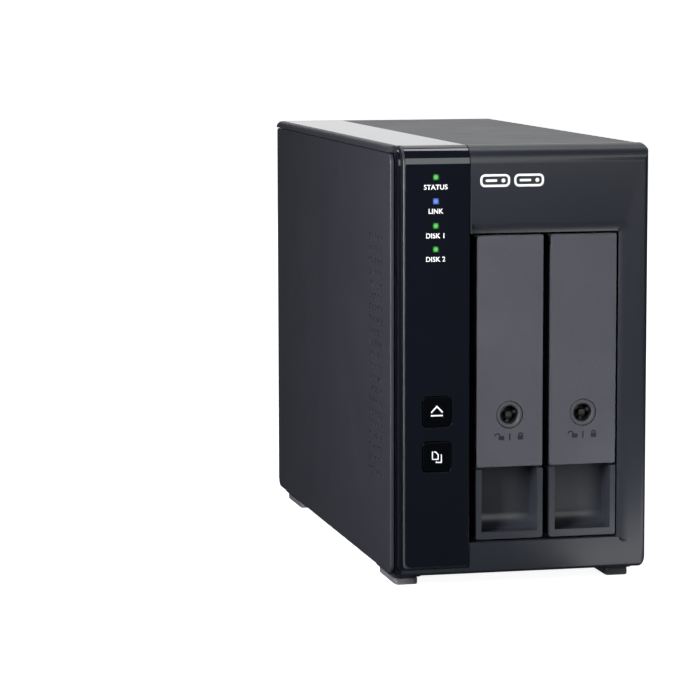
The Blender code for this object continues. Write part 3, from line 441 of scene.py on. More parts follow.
def top_strip():
    """The glossy strip let into the top."""
    face = rounded((STRIP_LOW.x, STRIP_LOW.y), (STRIP_HIGH.x, STRIP_HIGH.y), 0.3, 3)
    strip = outline(face, STRIP_LOW.z, STRIP_HIGH.z, "Z")
    finish_piece(shaped("top_strip", strip, edge=0.12), "gloss", "case", "gloss_black", "top_gloss_strip")


def wedge_mesh(back, front, y_back, y_front, past):
    """A loft between two like outlines that runs a little past the front one."""
    work = bmesh.new()
    stretch = 1 + past / (y_back - y_front)
    ahead = [(bx + (fx - bx) * stretch, bz + (fz - bz) * stretch) for (bx, bz), (fx, fz) in zip(back, front)]
    rings = [[work.verts.new((x * MM, y * MM, z * MM)) for x, z in ring]
             for y, ring in ((y_back, back), (y_front - past, ahead))]
    for i in range(len(back)):
        k = (i + 1) % len(back)
        work.faces.new((rings[0][i], rings[0][k], rings[1][k], rings[1][i]))
    for ring in rings:
        work.faces.new(ring)
    return mesh_from(work, "wedge")


def bezel():
    """The front frame with its chamfered bay opening, and the dark trim along its left edge."""
    low_x = BEZEL_LOW.x
    rim, trim_back = low_x + 1.05, SEAM - 2.6           # the trim's inner side and its rear end
    profile = [(SEAM, BASE), (SEAM, TOP), *arc((FRONT + ROUND, TOP - ROUND), ROUND, 90, 180, 16),
               *arc((FRONT + 1.5, BASE + 1.5), 1.5, 180, 270, 6)]
    face = rounded((low_x, BASE - 1), (RIGHT, TOP + 1), (6.0, 4.5, 0, 3), 12)
    plan = rounded((low_x, FRONT), (RIGHT, SEAM + 1), (2.4, 0, 0, 1.0))
    set_back = [(y + 0.9, z - 0.4) if z > BASE + 3 and y < SEAM - 1 else (y, z) for y, z in profile]
    behind = box_mesh([((low_x - 1, trim_back, BASE - 1), (rim + 1, SEAM + 2, TOP + 2))])
    trim = shaped("bezel_edge_trim", outline(set_back, low_x, rim, "X"),
                  [("keep", outline(face, FRONT - 5, SEAM + 5)), ("cut", behind)], edge=0.3)
    finish_piece(trim, "gloss", "case", "bezel_black")
    seat = [(FRONT - 3, BASE + 2.3), (FRONT + 1.8, BASE + 2.3), (FRONT + 1.8, TOP - 7.5),
            *arc((FRONT + ROUND, TOP - ROUND), 4.7, 180, 90, 10), (SEAM + 2, TOP - 2.4), (SEAM + 2, TOP + 3),
            (FRONT - 3, TOP + 3)]
    left, right, bottom, top = (BAY[side] for side in ("left", "right", "bottom", "top"))
    window = rounded((left, bottom), (right, top), (1.0, 1.0, 0, 0), 8)
    chamfer_back = rounded((left, bottom + 0.1), (right, top), (1.0, 1.0, 0, 0), 8)
    chamfer_front = rounded((left, bottom - 0.1), (right + 4.6, top + 4.2), (4.5, 3.0, 0, 0), 8)
    chamfer_front[:9] = arc((right + 2.4, bottom + 0.1), 2.2, -175, 0, 8)
    web = box_mesh([((left - 0.7, FRONT - 1, bottom - 0.1), (left + 0.1, FRONT + 4.5, top))])
    trim_seat = box_mesh([((low_x - 1, FRONT - 2, BASE + 3.0), (rim + 0.02, trim_back, TOP + 2))])
    hollow = box_mesh([((low_x + 2, FRONT + 3.2, BASE + 2.5), (RIGHT - 2, SEAM + 2, TOP - 7.5))])
    holes = [((x - 6.4, FRONT - 2, z - 6.6), (x + 6.4, SEAM + 2, z + 6.6)) for x, z in BUTTON_SPOTS.values()]
    holes += [((x - 1.6, FRONT - 2, z - 1.6), (x + 1.6, SEAM + 2, z + 1.6)) for x, z in LIGHT_SPOTS]
    steps = [("keep", outline(face, FRONT - 5, SEAM + 5)),
             ("keep", outline(plan, BASE - 1, TOP + 1, "Z")),
             ("cut", web), ("cut", trim_seat), ("cut", hollow),
             ("cut", outline(seat, low_x + 1.1, GLOSS_HIGH.x + GAP, "X")),
             ("cut", outline(window, FRONT - 3, SEAM + 3)),
             ("cut", wedge_mesh(chamfer_back, chamfer_front, FRONT + 2.4, FRONT, 0.5)),
             ("cut", box_mesh(holes))]
    piece = shaped("bezel", outline(profile, low_x, RIGHT, "X"), steps, edge=0.45, segments=3)
    finish_piece(piece, "bezel", "case", "bezel_black", "front_bezel")


def gloss_panel():
    """The glossy panel, bent over the top edge, and the satin lip along its left and lower edges."""
    low, right = GLOSS_LOW, GLOSS_HIGH.x
    profile = [*arc((FRONT + 1.2, low.z + 1.2), 1.2, 270, 180, 5),
               *arc((FRONT + ROUND, TOP - ROUND), ROUND, 180, 90, 18), (SEAM, TOP), (SEAM, TOP - 2.1),
               *arc((FRONT + ROUND, TOP - ROUND), 5.0, 85, 175, 12), (FRONT + 1.5, TOP - 8),
               (FRONT + 1.5, low.z)]
    face = rounded((low.x, low.z - 0.2), (right, TOP + 1), (0.4, 0, 0, 3.0), 8)
    plan = rounded((low.x, FRONT), (right + 1, SEAM + 1), (0, 0, 0, 1.0), 8)
    inner = rounded((low.x + 1.0, low.z + 0.8), (right + 2, TOP + 2), (0, 0, 0, 2.2), 8)
    lip = shaped("gloss_panel_lip", outline(profile, low.x, right, "X"),
                 [("keep", outline(face, FRONT - 5, SEAM + 5)),
                  ("keep", outline(plan, BASE - 1, TOP + 1, "Z")),
                  ("cut", outline(inner, FRONT - 5, SEAM + 5))], edge=0.2)
    finish_piece(lip, "lip", "case", "gloss_black")
    sheet = rounded((low.x + 1.04, low.z + 0.84), (right, TOP + 1), (0.4, 0, 0, 2.2), 8)
    steps = [("keep", outline(sheet, FRONT - 5, SEAM + 5))]
    for x, z in BUTTON_SPOTS.values():
        hole = rounded((x - 5.8, z - 6.0), (x + 5.8, z + 6.0), 1.9, 8)
        steps.append(("cut", outline(hole, FRONT - 2, FRONT + 4)))
    steps.append(("cut", box_mesh([((x - 1.15, FRONT - 2, z - 1.15), (x + 1.15, FRONT + 4, z + 1.15))
                                   for x, z in LIGHT_SPOTS])))
    panel = shaped("gloss_panel", outline(profile, low.x, right, "X"), steps, edge=0.4, segments=4)
    finish_piece(panel, "gloss", "case", "gloss_black", "gloss_front_panel")


# ---------------------------------------------------------------- printed marks


def stroke(points, width):
    """The outline of an open line of one width, with mitred bends."""
    left, right = [], []
    for i, point in enumerate(points):
        here = Vector(point)
        before = (here - Vector(points[i - 1])).normalized() if i else None
        after = (Vector(points[i + 1]) - here).normalized() if i < len(points) - 1 else None
        before, after = before or after, after or before
        along = (before + after).normalized()
        normal = Vector((-along.y, along.x))
        spread = width / 2 / max(0.35, normal.dot(Vector((-before.y, before.x))))
        left.append(tuple(here + normal * spread))
        right.append(tuple(here - normal * spread))
    return left + right[::-1]


def frame_rings(low, high, radius, width, steps=5):
    """Outer and inner outline of a rounded frame of one width."""
    inner = max(0.05, radius - width)
    return [rounded(low, high, radius, steps),
            rounded((low[0] + width, low[1] + width), (high[0] - width, high[1] - width), inner, steps)]


INK = 0.03      # how far printed ink stands proud


def mark(name, rings, face, look, body, slot, outward=-1):
    """Ink printed on a face that looks along -Y (or +Y): thin shapes standing just proud of it."""
    start, end = sorted((face - outward * 0.01, face + outward * INK))
    thing = new_object(name, outline_mesh(rings, start, end))
    return finish_piece(thing, look, body, slot)


def lettering(name, words, x, z, height, face):
    """A small generic word, centred at (x, z), on a face that looks along -Y."""
    curve = bpy.data.curves.new(name, "FONT")
    curve.body = words
    curve.align_x, curve.align_y = "CENTER", "CENTER"
    curve.size = height * 1.42 * MM
    curve.offset = 0.030 * height * MM
    curve.space_character = 1.04
    curve.extrude = INK / 2 * MM
    text = new_object(name, curve)
    spot = Vector((x, face - INK / 2 + 0.01, z)) * MM
    text.matrix_world = Matrix.Translation(spot) @ Matrix.Rotation(pi / 2, 4, "X")
    bpy.context.view_layer.update()
    mesh = bpy.data.meshes.new_from_object(text.evaluated_get(bpy.context.evaluated_depsgraph_get()))
    mesh.transform(text.matrix_world)
    bpy.data.objects.remove(text, do_unlink=True)
    work = bmesh.new()
    work.from_mesh(mesh)
    bmesh.ops.remove_doubles(work, verts=work.verts, dist=0.0000005)
    work.to_mesh(mesh)
    work.free()
    return finish_piece(new_object(name, mesh), "white_ink", "case", "gloss_black")


def front_marks():
    """The four status words, the two button symbols and a generic pair of drives."""
    for (x, z), words in zip(LIGHT_SPOTS, ("STATUS", "LINK", "DISK 1", "DISK 2")):
        lettering("label_" + words.lower().replace(" ", "_"), words, x - 0.1, z - 3.8, 1.8, FRONT)
    x, z = BUTTON_SPOTS["eject_button"]
    chevron = stroke([(x - 2.2, z - 0.2), (x, z + 2.1), (x + 2.2, z - 0.2)], 0.55)
    bar = rounded((x - 2.3, z - 1.65), (x + 2.3, z - 1.1), 0.1, 2)
    mark("eject_symbol", [chevron, bar], FRONT, "white_ink", "eject_button", "gloss_black")
    x, z = BUTTON_SPOTS["copy_button"]
    sheet_front = stroke([(x - 1.1, z + 1.9), (x - 1.7, z + 1.9), (x - 1.7, z - 0.9), (x + 0.5, z - 0.9),
                          (x + 0.5, z + 0.9), (x - 0.5, z + 1.9), (x - 1.4, z + 1.9)], 0.42)
    sheet_behind = stroke([(x + 1.55, z + 0.9), (x + 1.75, z + 0.6), (x + 1.75, z - 2.1), (x - 0.2, z - 2.1),
                           (x - 0.2, z - 1.7)], 0.42)
    mark("copy_symbol_front", [sheet_front], FRONT, "white_ink", "copy_button", "gloss_black")
    mark("copy_symbol_back", [sheet_behind], FRONT, "white_ink", "copy_button", "gloss_black")
    rings = []
    low_z, high_z, left, wide, space = 152.4, 157.2, -16.5, 11.6, 1.6
    for i in range(2):
        x = left + i * (wide + space)
        rings += frame_rings((x, low_z), (x + wide, high_z), 1.9, 0.85, 8)
        rings.append(rounded((x + 2.1, 154.35), (x + 6.6, 155.25), 0.4, 4))
        rings.append(arc((x + 9.0, 154.8), 0.75, 0, 345, 23))
    mark("drive_pictogram", rings, FRONT, "white_ink", "case", "bezel_black")


# ---------------------------------------------------------------- front controls and feet


def front_controls():
    """Button caps, light guides and feet."""
    for name, (x, z) in BUTTON_SPOTS.items():
        high = reach(name)[1]
        cap = rounded((x - 5.5, z - 5.7), (x + 5.5, z + 5.7), 1.6, 8)
        stem = cylinder_mesh([(x, z)], 1.6, FRONT + 2.5, high.y, "Y", 32)
        piece = shaped(name + "_cap", outline(cap, FRONT, FRONT + 3.0), [("join", stem)], edge=0.45,
                       segments=3)
        finish_piece(piece, "button", name, "gloss_black", name)
    for node, (x, z) in zip(LIGHTS, LIGHT_SPOTS):
        back = reach(node)[1].y
        lens = rounded((x - 1.0, z - 1.0), (x + 1.0, z + 1.0), 0.15, 3)
        colour = "light_blue" if node.endswith("link") else "light_green"
        piece = shaped(node + "_lens", outline(lens, FRONT + 0.05, back), edge=0.12)
        finish_piece(piece, colour, "case", colour, node)
    for node in FEET:
        low, high = reach(node)
        pad = outline(rounded((low.x, low.y), (high.x, high.y), 1.6, 6), low.z, high.z, "Z")
        finish_piece(shaped(node + "_pad", pad, edge=0.6, segments=3), "rubber", "case", "foot_rubber", node)


# ---------------------------------------------------------------- trays

FACE = PLATE_LOW.y
PIVOT_Y, PIVOT_Z = FACE + 2.5, PLATE_HIGH.z - 2.3
BLOCK_BACK, RECESS_BACK, RECESS_HALF = -93.0, FACE + 11.0, 11.0


def tray_body(number, x):
    """The tray's front block with its finger recess, its two rails and slotted side, and the hinge pin."""
    body = f"tray_{number}"
    bottom, top = TRAY_LOW.z, PLATE_HIGH.z
    floor_z, cove = bottom + 2.7, 6.5
    recess = [(FACE - 3, floor_z), (FACE + 1.5, floor_z),
              *arc((RECESS_BACK - cove, floor_z + cove - 0.6), cove, -70, 0, 14),
              (RECESS_BACK, PLATE_LOW.z + 9), (FACE - 3, PLATE_LOW.z + 9)]
    hinge = [(PIVOT_Y - 6, PIVOT_Z - 3.0), (PIVOT_Y + 0.2, PIVOT_Z - 3.0), (PIVOT_Y + 3.2, PIVOT_Z - 1.5),
             (PIVOT_Y + 3.2, top + 2), (PIVOT_Y - 6, top + 2)]
    ear = [(PIVOT_Y + 3.0, PIVOT_Z - 1.25), *arc((PIVOT_Y, PIVOT_Z), 1.25, 270, 90, 16),
           (PIVOT_Y + 3.0, PIVOT_Z + 1.25)]
    frame_face = rounded((x - 13.1, bottom), (x + 13.1, PLATE_LOW.z - 1.0), (0.8, 0.3, 0.3, 0.8), 5)
    frame_block = outline(frame_face, FACE, BLOCK_BACK - 0.5)
    back = TRAY_HIGH.y
    side = x - 14.2
    steps = [("join", frame_block)]
    for low, high in ((20.4, 24.6), (127.4, 131.6)):
        steps.append(("join", box_mesh([((side, BLOCK_BACK - 2, low), (x + 13.4, back, high))])))
    steps.append(("join", box_mesh([((side + 0.02, BLOCK_BACK - 2.02, 21.4),
                                     (side + 0.85, back - 0.02, 130.6))])))
    slots = [rounded((y, 40), (y + 11, 112), 3.0, 6) for y in range(-80, 45, 21)]
    steps += [("cut", outline_mesh(slots, side - 2, side + 2, "X")),
              ("cut", outline(recess, x - RECESS_HALF, x + RECESS_HALF, "X")),
              ("cut", box_mesh([((x - 6.5, FACE, 58.2), (x + 6.5, BLOCK_BACK - 2.5, 71.7))])),
              ("cut", outline(hinge, x - 10.8, x + 10.8, "X")),
              ("cut", box_mesh([((x - 14, PIVOT_Y - 6, PIVOT_Z + 1.35), (x + 14, PIVOT_Y + 3.3, top + 2))]))]
    for sign in (-1, 1):
        steps.append(("join", outline(ear, x + sign * 11.7 - 0.7, x + sign * 11.7 + 0.7, "X")))
    steps.append(("cut", cylinder_mesh([(PIVOT_Y, PIVOT_Z)], 0.7, x - 12.5, x + 12.5, "X", 32)))
    base = box_mesh([((x - 12.6, FACE + 3.0, bottom + 2.0), (x + 12.6, BLOCK_BACK, top - 0.2))])
    piece = shaped(f"tray_{number}_moulding", base, steps, edge=0.3, segments=3)
    finish_piece(piece, "tray_satin", body, "tray_satin", f"tray_body_{number}")
    pin = shaped(f"hinge_pin_{number}", cylinder_mesh([(PIVOT_Y, PIVOT_Z)], 0.6, x - 12.1, x + 12.1, "X", 24),
                 edge=0.1)
    finish_piece(pin, "pin", body, "pin_steel", f"handle_pin_{number}")


def tray_handle(number, x):
    """The hinged front plate and the small marks printed on it."""
    body, bottom, top, back = f"handle_{number}", PLATE_LOW.z, PLATE_HIGH.z, FACE + 2.6
    profile = [(FACE, bottom), *arc((FACE + 1.2, top - 1.2), 1.2, 180, 90, 8), (PIVOT_Y + 0.5, top),
               (PIVOT_Y + 0.5, top - 0.6), (back, PIVOT_Z + 1.4), (back, bottom)]
    face = rounded((x - 12.85, bottom), (x + 12.85, top), (0.5, 0.5, 0.5, 0.5), 5)
    ears = [((x + s * 11.95 - 1.35, PIVOT_Y - 1.45, PIVOT_Z - 1.9),
             (x + s * 11.95 + 1.35, PIVOT_Y + 6, top + 3))
            for s in (-1, 1)]
    grip = rounded((back - 0.5, bottom + 0.8), (back + 1.8, bottom + 2.6), (0.5, 0.5, 0, 0), 4)
    steps = [("keep", outline(face, FACE - 3, back + 3)), ("cut", box_mesh(ears)),
             ("join", cylinder_mesh([(PIVOT_Y, PIVOT_Z)], 1.7, x - 10.3, x + 10.3, "X", 32)),
             ("cut", cylinder_mesh([(PIVOT_Y, PIVOT_Z)], 0.7, x - 14, x + 14, "X", 24)),
             ("join", outline(grip, x - 10.0, x + 10.0, "X")),
             ("cut", cylinder_mesh([(x, LOCK_Z)], 5.25, FACE - 2, back + 2, "Y", 72))]
    plate = shaped(f"tray_{number}_handle", outline(profile, x - 12.85, x + 12.85, "X"), steps, edge=0.25,
                   segments=3)
    finish_piece(plate, "tray_plate", body, "tray_grey", f"tray_handle_{number}")
    z = LOCK_Z - 8.4
    open_lock = [rounded((x - 4.4, z - 1.25), (x - 2.1, z + 0.35), 0.35, 4),
                 stroke([(x - 3.95, z + 0.3), (x - 3.95, z + 0.8), (x - 4.5, z + 1.2), (x - 5.4, z + 1.2),
                         (x - 5.75, z + 0.8), (x - 5.75, z + 0.35)], 0.50)]
    shut_lock = [rounded((x + 3.15, z - 1.25), (x + 5.35, z + 0.35), 0.3, 4),
                 stroke([(x + 3.6, z + 0.3), (x + 3.6, z + 1.0), (x + 4.0, z + 1.3), (x + 4.5, z + 1.3),
                         (x + 4.9, z + 1.0), (x + 4.9, z + 0.3)], 0.50)]
    line = rounded((x - 0.30, z - 1.4), (x + 0.30, z + 1.3), 0.05, 2)
    for part, ring in zip(("open_body", "open_loop", "shut_body", "shut_loop", "line"),
                          (*open_lock, *shut_lock, line)):
        mark(f"lock_mark_{number}_{part}", [ring], FACE, "black_ink", body, "tray_grey")


def turned(name, profile, centre, steps=72):
    """A ring or disc turned about an axis along Y: profile points are (radius, y), from front to back."""
    work = bmesh.new()
    rings = []
    for radius, y in profile:
        rings.append([work.verts.new(((centre[0] + radius * cos(2 * pi * k / steps)) * MM, y * MM,
                                      (centre[1] + radius * sin(2 * pi * k / steps)) * MM))
                      for k in range(steps)])
    for a, b in zip(rings, rings[1:] + rings[:1]):
        for k in range(steps):
            work.faces.new((a[k], a[(k + 1) % steps], b[(k + 1) % steps], b[k]))
    thing = new_object(name, mesh_from(work, name))
    thing.data.shade_smooth()
    thing.data.set_sharp_from_angle(angle=radians(32))
    return thing


def tray_lock(number, x):
    """The key lock: ring, key socket, core and the cam behind."""
    body, y = f"lock_{number}", FACE
    ring = turned(f"lock_ring_{number}",
                  [(3.55, y + 0.55), (3.75, y + 0.28), (4.0, y + 0.15), (4.75, y + 0.12),
                   (4.92, y + 0.2), (5.0, y + 0.4), (5.0, y + 2.5), (4.4, y + 2.6),
                   (4.4, y + 8.4), (3.5, y + 8.4)], (x, LOCK_Z))
    finish_piece(ring, "lock", body, "lock_black", f"tray_lock_{number}")
    cup = turned(f"key_socket_{number}", [(3.48, y + 0.75), (3.48, y + 8.3), (0.4, y + 8.3), (0.4, y + 6.4),
                                          (2.9, y + 6.4), (3.1, y + 6.2), (3.1, y + 1.3), (3.3, y + 0.85)],
                 (x, LOCK_Z))
    finish_piece(cup, "socket", body, "lock_black")
    post = rounded((x - 1.15, LOCK_Z - 0.95), (x + 1.15, LOCK_Z + 0.95), 0.4, 4)
    ribs = []
    for turn in (20, 140, 260):
        spot = (x + 2.55 * cos(radians(turn)), LOCK_Z + 2.55 * sin(radians(turn)))
        ribs.append(("join", cylinder_mesh([spot], 0.62, y + 2.4, y + 7.0, "Y", 20)))
    base = cylinder_mesh([(x, LOCK_Z)], 3.0, y + 5.6, y + 7.4, "Y", 48)
    core = shaped(f"key_core_{number}", base, [("join", outline(post, y + 1.9, y + 6.0)), *ribs],
                  edge=0.15)
    finish_piece(core, "chip", body, "lock_black")
    cam = outline(rounded((x - 1.6, LOCK_Z - 1.6), (x + 1.6, LOCK_Z + 5.2), 1.4, 6), y + 8.45, y + 9.4)
    finish_piece(shaped(f"lock_cam_{number}", cam, edge=0.15), "pin", body, "lock_black")


# ---------------------------------------------------------------- hard drives


def hard_drive(number, x):
    """A 3.5 inch drive: cast body, stamped lid with label and screws, and the board on its left side."""
    body, node = f"tray_{number}", f"hard_drive_{number}"
    (low, high), centre = reach(node), middle(node)
    lid_x = high.x - 0.9
    deck = outline(rounded((low.y, low.z), (high.y, high.z), 3.0, 8), low.x + 1.6, lid_x - 0.02, "X")
    bay = box_mesh([((low.x + 1.2, high.y - 5.0, centre.z - 42), (x + 2, high.y + 2, centre.z + 2))])
    spindle = [(centre.y + 14, centre.z)]
    basin = outline(rounded((low.y + 9, low.z + 6), (high.y - 22, high.z - 6), 6.0, 8), low.x - 2,
                    low.x + 3.4, "X")
    boss = cylinder_mesh(spindle, 15.0, low.x + 2.0, low.x + 4.4, "X", 64)
    cast = shaped(f"drive_{number}_casting", deck, [("cut", bay), ("cut", basin), ("join", boss)], edge=0.5,
                  segments=3)
    finish_piece(cast, "cast_alloy", body, "drive_alloy", node)
    lid_ring = rounded((low.y + 1.6, low.z + 1.6), (high.y - 1.6, high.z - 1.6), 4.0, 8)
    emboss = cylinder_mesh(spindle, 43.0, high.x - 0.35, high.x + 1, "X", 96)
    well = cylinder_mesh(spindle, 12.0, high.x - 0.55, high.x + 1, "X", 48)
    lid = shaped(f"drive_{number}_lid", outline(lid_ring, lid_x, high.x, "X"),
                 [("cut", emboss), ("cut", well)], edge=0.2, segments=3)
    finish_piece(lid, "drive_lid", body, "drive_alloy")
    sticker = rounded((low.y + 12, low.z + 14), (low.y + 62, high.z - 14), 1.5, 4)
    label = outline(sticker, high.x - 0.33, high.x - 0.22, "X")
    finish_piece(shaped(f"drive_{number}_label", label), "label", body, "drive_alloy")
    bars = [rounded((low.y + 18 + step, low.z + 20), (low.y + 20.2 + step, high.z - 20 - 7 * (i % 3)), 0.2, 2)
            for i, step in enumerate((0.0, 5.5, 11.0, 16.5, 22.0, 27.5, 33.0))]
    printed = new_object(f"drive_{number}_label_bars", outline_mesh(bars, high.x - 0.23, high.x - 0.19, "X"))
    finish_piece(printed, "black_ink", body, "drive_alloy")
    screws = [(y, z) for y in (low.y + 5.5, centre.y, high.y - 5.5) for z in (low.z + 5.5, high.z - 5.5)]
    heads = cylinder_mesh(screws, 2.3, high.x - 0.02, high.x + 0.12, "X", 24)
    finish_piece(shaped(f"drive_{number}_lid_screws", heads, edge=0.05), "black_zinc", body, "screw_black")
    sheet = rounded((low.y + 30, low.z + 7.5), (high.y - 24, high.z - 7.5), 2.0, 4)
    board = outline(sheet, low.x + 1.2, low.x + 2.4, "X")
    finish_piece(shaped(f"drive_{number}_board", board, edge=0.1), "board", body, "circuit_green")
    chips = box_mesh([((low.x + 0.2, low.y + a, low.z + c), (low.x + 1.25, low.y + b, low.z + d))
                      for a, b, c, d in ((44, 60, 30, 46), (66, 76, 54, 62), (48, 56, 60, 72),
                                         (84, 92, 26, 38), (100, 108, 60, 66), (98, 104, 78, 84))])
    finish_piece(shaped(f"drive_{number}_chips", chips, edge=0.12), "chip", body, "connector_black")
    side_screws = [(y, z) for y in (low.y + 28, low.y + 70, high.y - 28) for z in (low.z, high.z)]
    for k, (y, z) in enumerate(side_screws):
        start, end = (z - 0.25, z + 0.05) if z < centre.z else (z - 0.05, z + 0.25)
        head = cylinder_mesh([(centre.x, y)], 2.9, start, end, "Z", 28)
        finish_piece(shaped(f"drive_{number}_side_screw_{k + 1}", head, edge=0.08), "black_zinc", body,
                     "screw_black")


# ---------------------------------------------------------------- rear

GRILLE_RINGS, GRILLE_BAR = 5, 1.3       # rings of slots in the fan grille, and half the width of its spokes


def degrees_for(length, radius):
    """The angle that a length along a circle takes up."""
    return length / radius * 180 / pi


def rear_panel():
    """The rear plate with its fan grille, port openings and printed marks."""
    face_low, face_high = REAR_LOW.y, REAR_HIGH.y
    sheet = rounded((REAR_LOW.x, REAR_LOW.z), (REAR_HIGH.x, REAR_HIGH.z), (4, 3, 1, 1), 8)
    steps = []
    for ring in range(GRILLE_RINGS):
        inner = 6.0 + ring * 5.2
        outer = inner + 3.4
        margin_in, margin_out = degrees_for(GRILLE_BAR, inner), degrees_for(GRILLE_BAR, outer)
        slots = []
        for spoke in range(8):
            start, end = 45 * spoke, 45 * (spoke + 1)
            slots.append(arc((FAN.x, FAN.z), outer, start + margin_out, end - margin_out, 9)
                         + arc((FAN.x, FAN.z), inner, end - margin_in, start + margin_in, 6))
        steps.append(("cut", outline_mesh(slots, face_low - 2, face_high + 3)))
    steps.append(("cut", cylinder_mesh(FAN_SPOTS, 2.2, face_low - 2, face_high + 3, "Y", 28)))
    steps.append(("cut", cylinder_mesh(CASE_SPOTS, 1.6, face_low - 2, face_high + 3, "Y", 24)))
    windows = []
    for name, (x, z) in PORTS.items():
        width, height, corner = PORT_SIZES[name]
        windows.append(rounded((x - width / 2 - 0.4, z - height / 2 - 0.4),
                               (x + width / 2 + 0.4, z + height / 2 + 0.4), corner, 6))
    steps.append(("cut", outline_mesh(windows, face_low - 2, face_high + 3)))
    panel = shaped("rear_plate", outline(sheet, face_low, face_high), steps, edge=0.22, segments=2)
    finish_piece(panel, "casing", "case", "casing_black", "rear_panel")
    x, z = middle("power_button").x, middle("power_button").z
    marks = [stroke(arc((x, z), 1.7, 60, -240, 20), 0.4),
             rounded((x - 0.2, z + 0.5), (x + 0.2, z + 2.4), 0.05, 2)]
    cap_face = reach("power_button")[1].y
    for part, ring in zip(("ring", "line"), marks):
        mark(f"power_symbol_{part}", [ring], cap_face, "white_ink", "power_button", "bezel_black", 1)
    lock_x, lock_z = PORTS["lock"]
    rings = frame_rings((lock_x - 1.3, lock_z + 3.2), (lock_x + 1.3, lock_z + 5.2), 0.4, 0.4, 4)
    mark("lock_slot_symbol", rings, face_high, "white_ink", "case", "casing_black", 1)
    x, z = PORTS["jack"][0] + 8.0, PORTS["jack"][1]
    dashes = [rounded((x + at, z - 0.8), (x + at + 1.1, z - 0.4), 0.1, 2) for at in (0.0, 1.45, 2.9)]
    mark("power_inlet_symbol", [rounded((x, z + 0.4), (x + 4.0, z + 0.9), 0.1, 2), *dashes], face_high,
         "white_ink", "case", "casing_black", 1)


def screw(name, head_radius, shank_radius, head):
    """A pan-head screw along Y with a tapered cross recess, at its CAD node's place."""
    low, high = reach(name)
    x, z, y = (low.x + high.x) / 2, (low.z + high.z) / 2, high.y
    crown = [(0.0, y), (head_radius * 0.45, y - 0.03 * head), (head_radius * 0.8, y - 0.18 * head),
             (head_radius * 0.96, y - 0.45 * head), (head_radius, y - 0.75 * head), (head_radius, y - head)]
    thread, turns = [], int((y - head - low.y) / 0.5)
    for k in range(turns):
        at = y - head - 0.25 - k * 0.5
        thread += [(shank_radius, at), (shank_radius - 0.16, at - 0.25)]
    profile = [(0.02, y), *crown[1:], (shank_radius, y - head - 0.02), *thread,
               (shank_radius * 0.6, low.y + 0.02), (0.02, low.y)]
    body = turned(name + "_body", profile, (x, z), 40)
    arm, deep = head_radius * 0.55, y - head * 0.72
    for turn in (0, 90):
        slot = box_mesh([((-arm, deep, -0.32), (arm, y + 1, 0.32))])
        slot.transform(Matrix.Translation(Vector((x, 0, z)) * MM)
                       @ Matrix.Rotation(radians(turn + 20), 4, "Y"))
        apply_steps(body, [("cut", slot)])
    body.data.set_sharp_from_angle(angle=radians(35))
    return finish_piece(body, "black_zinc", "case", "screw_black", name)


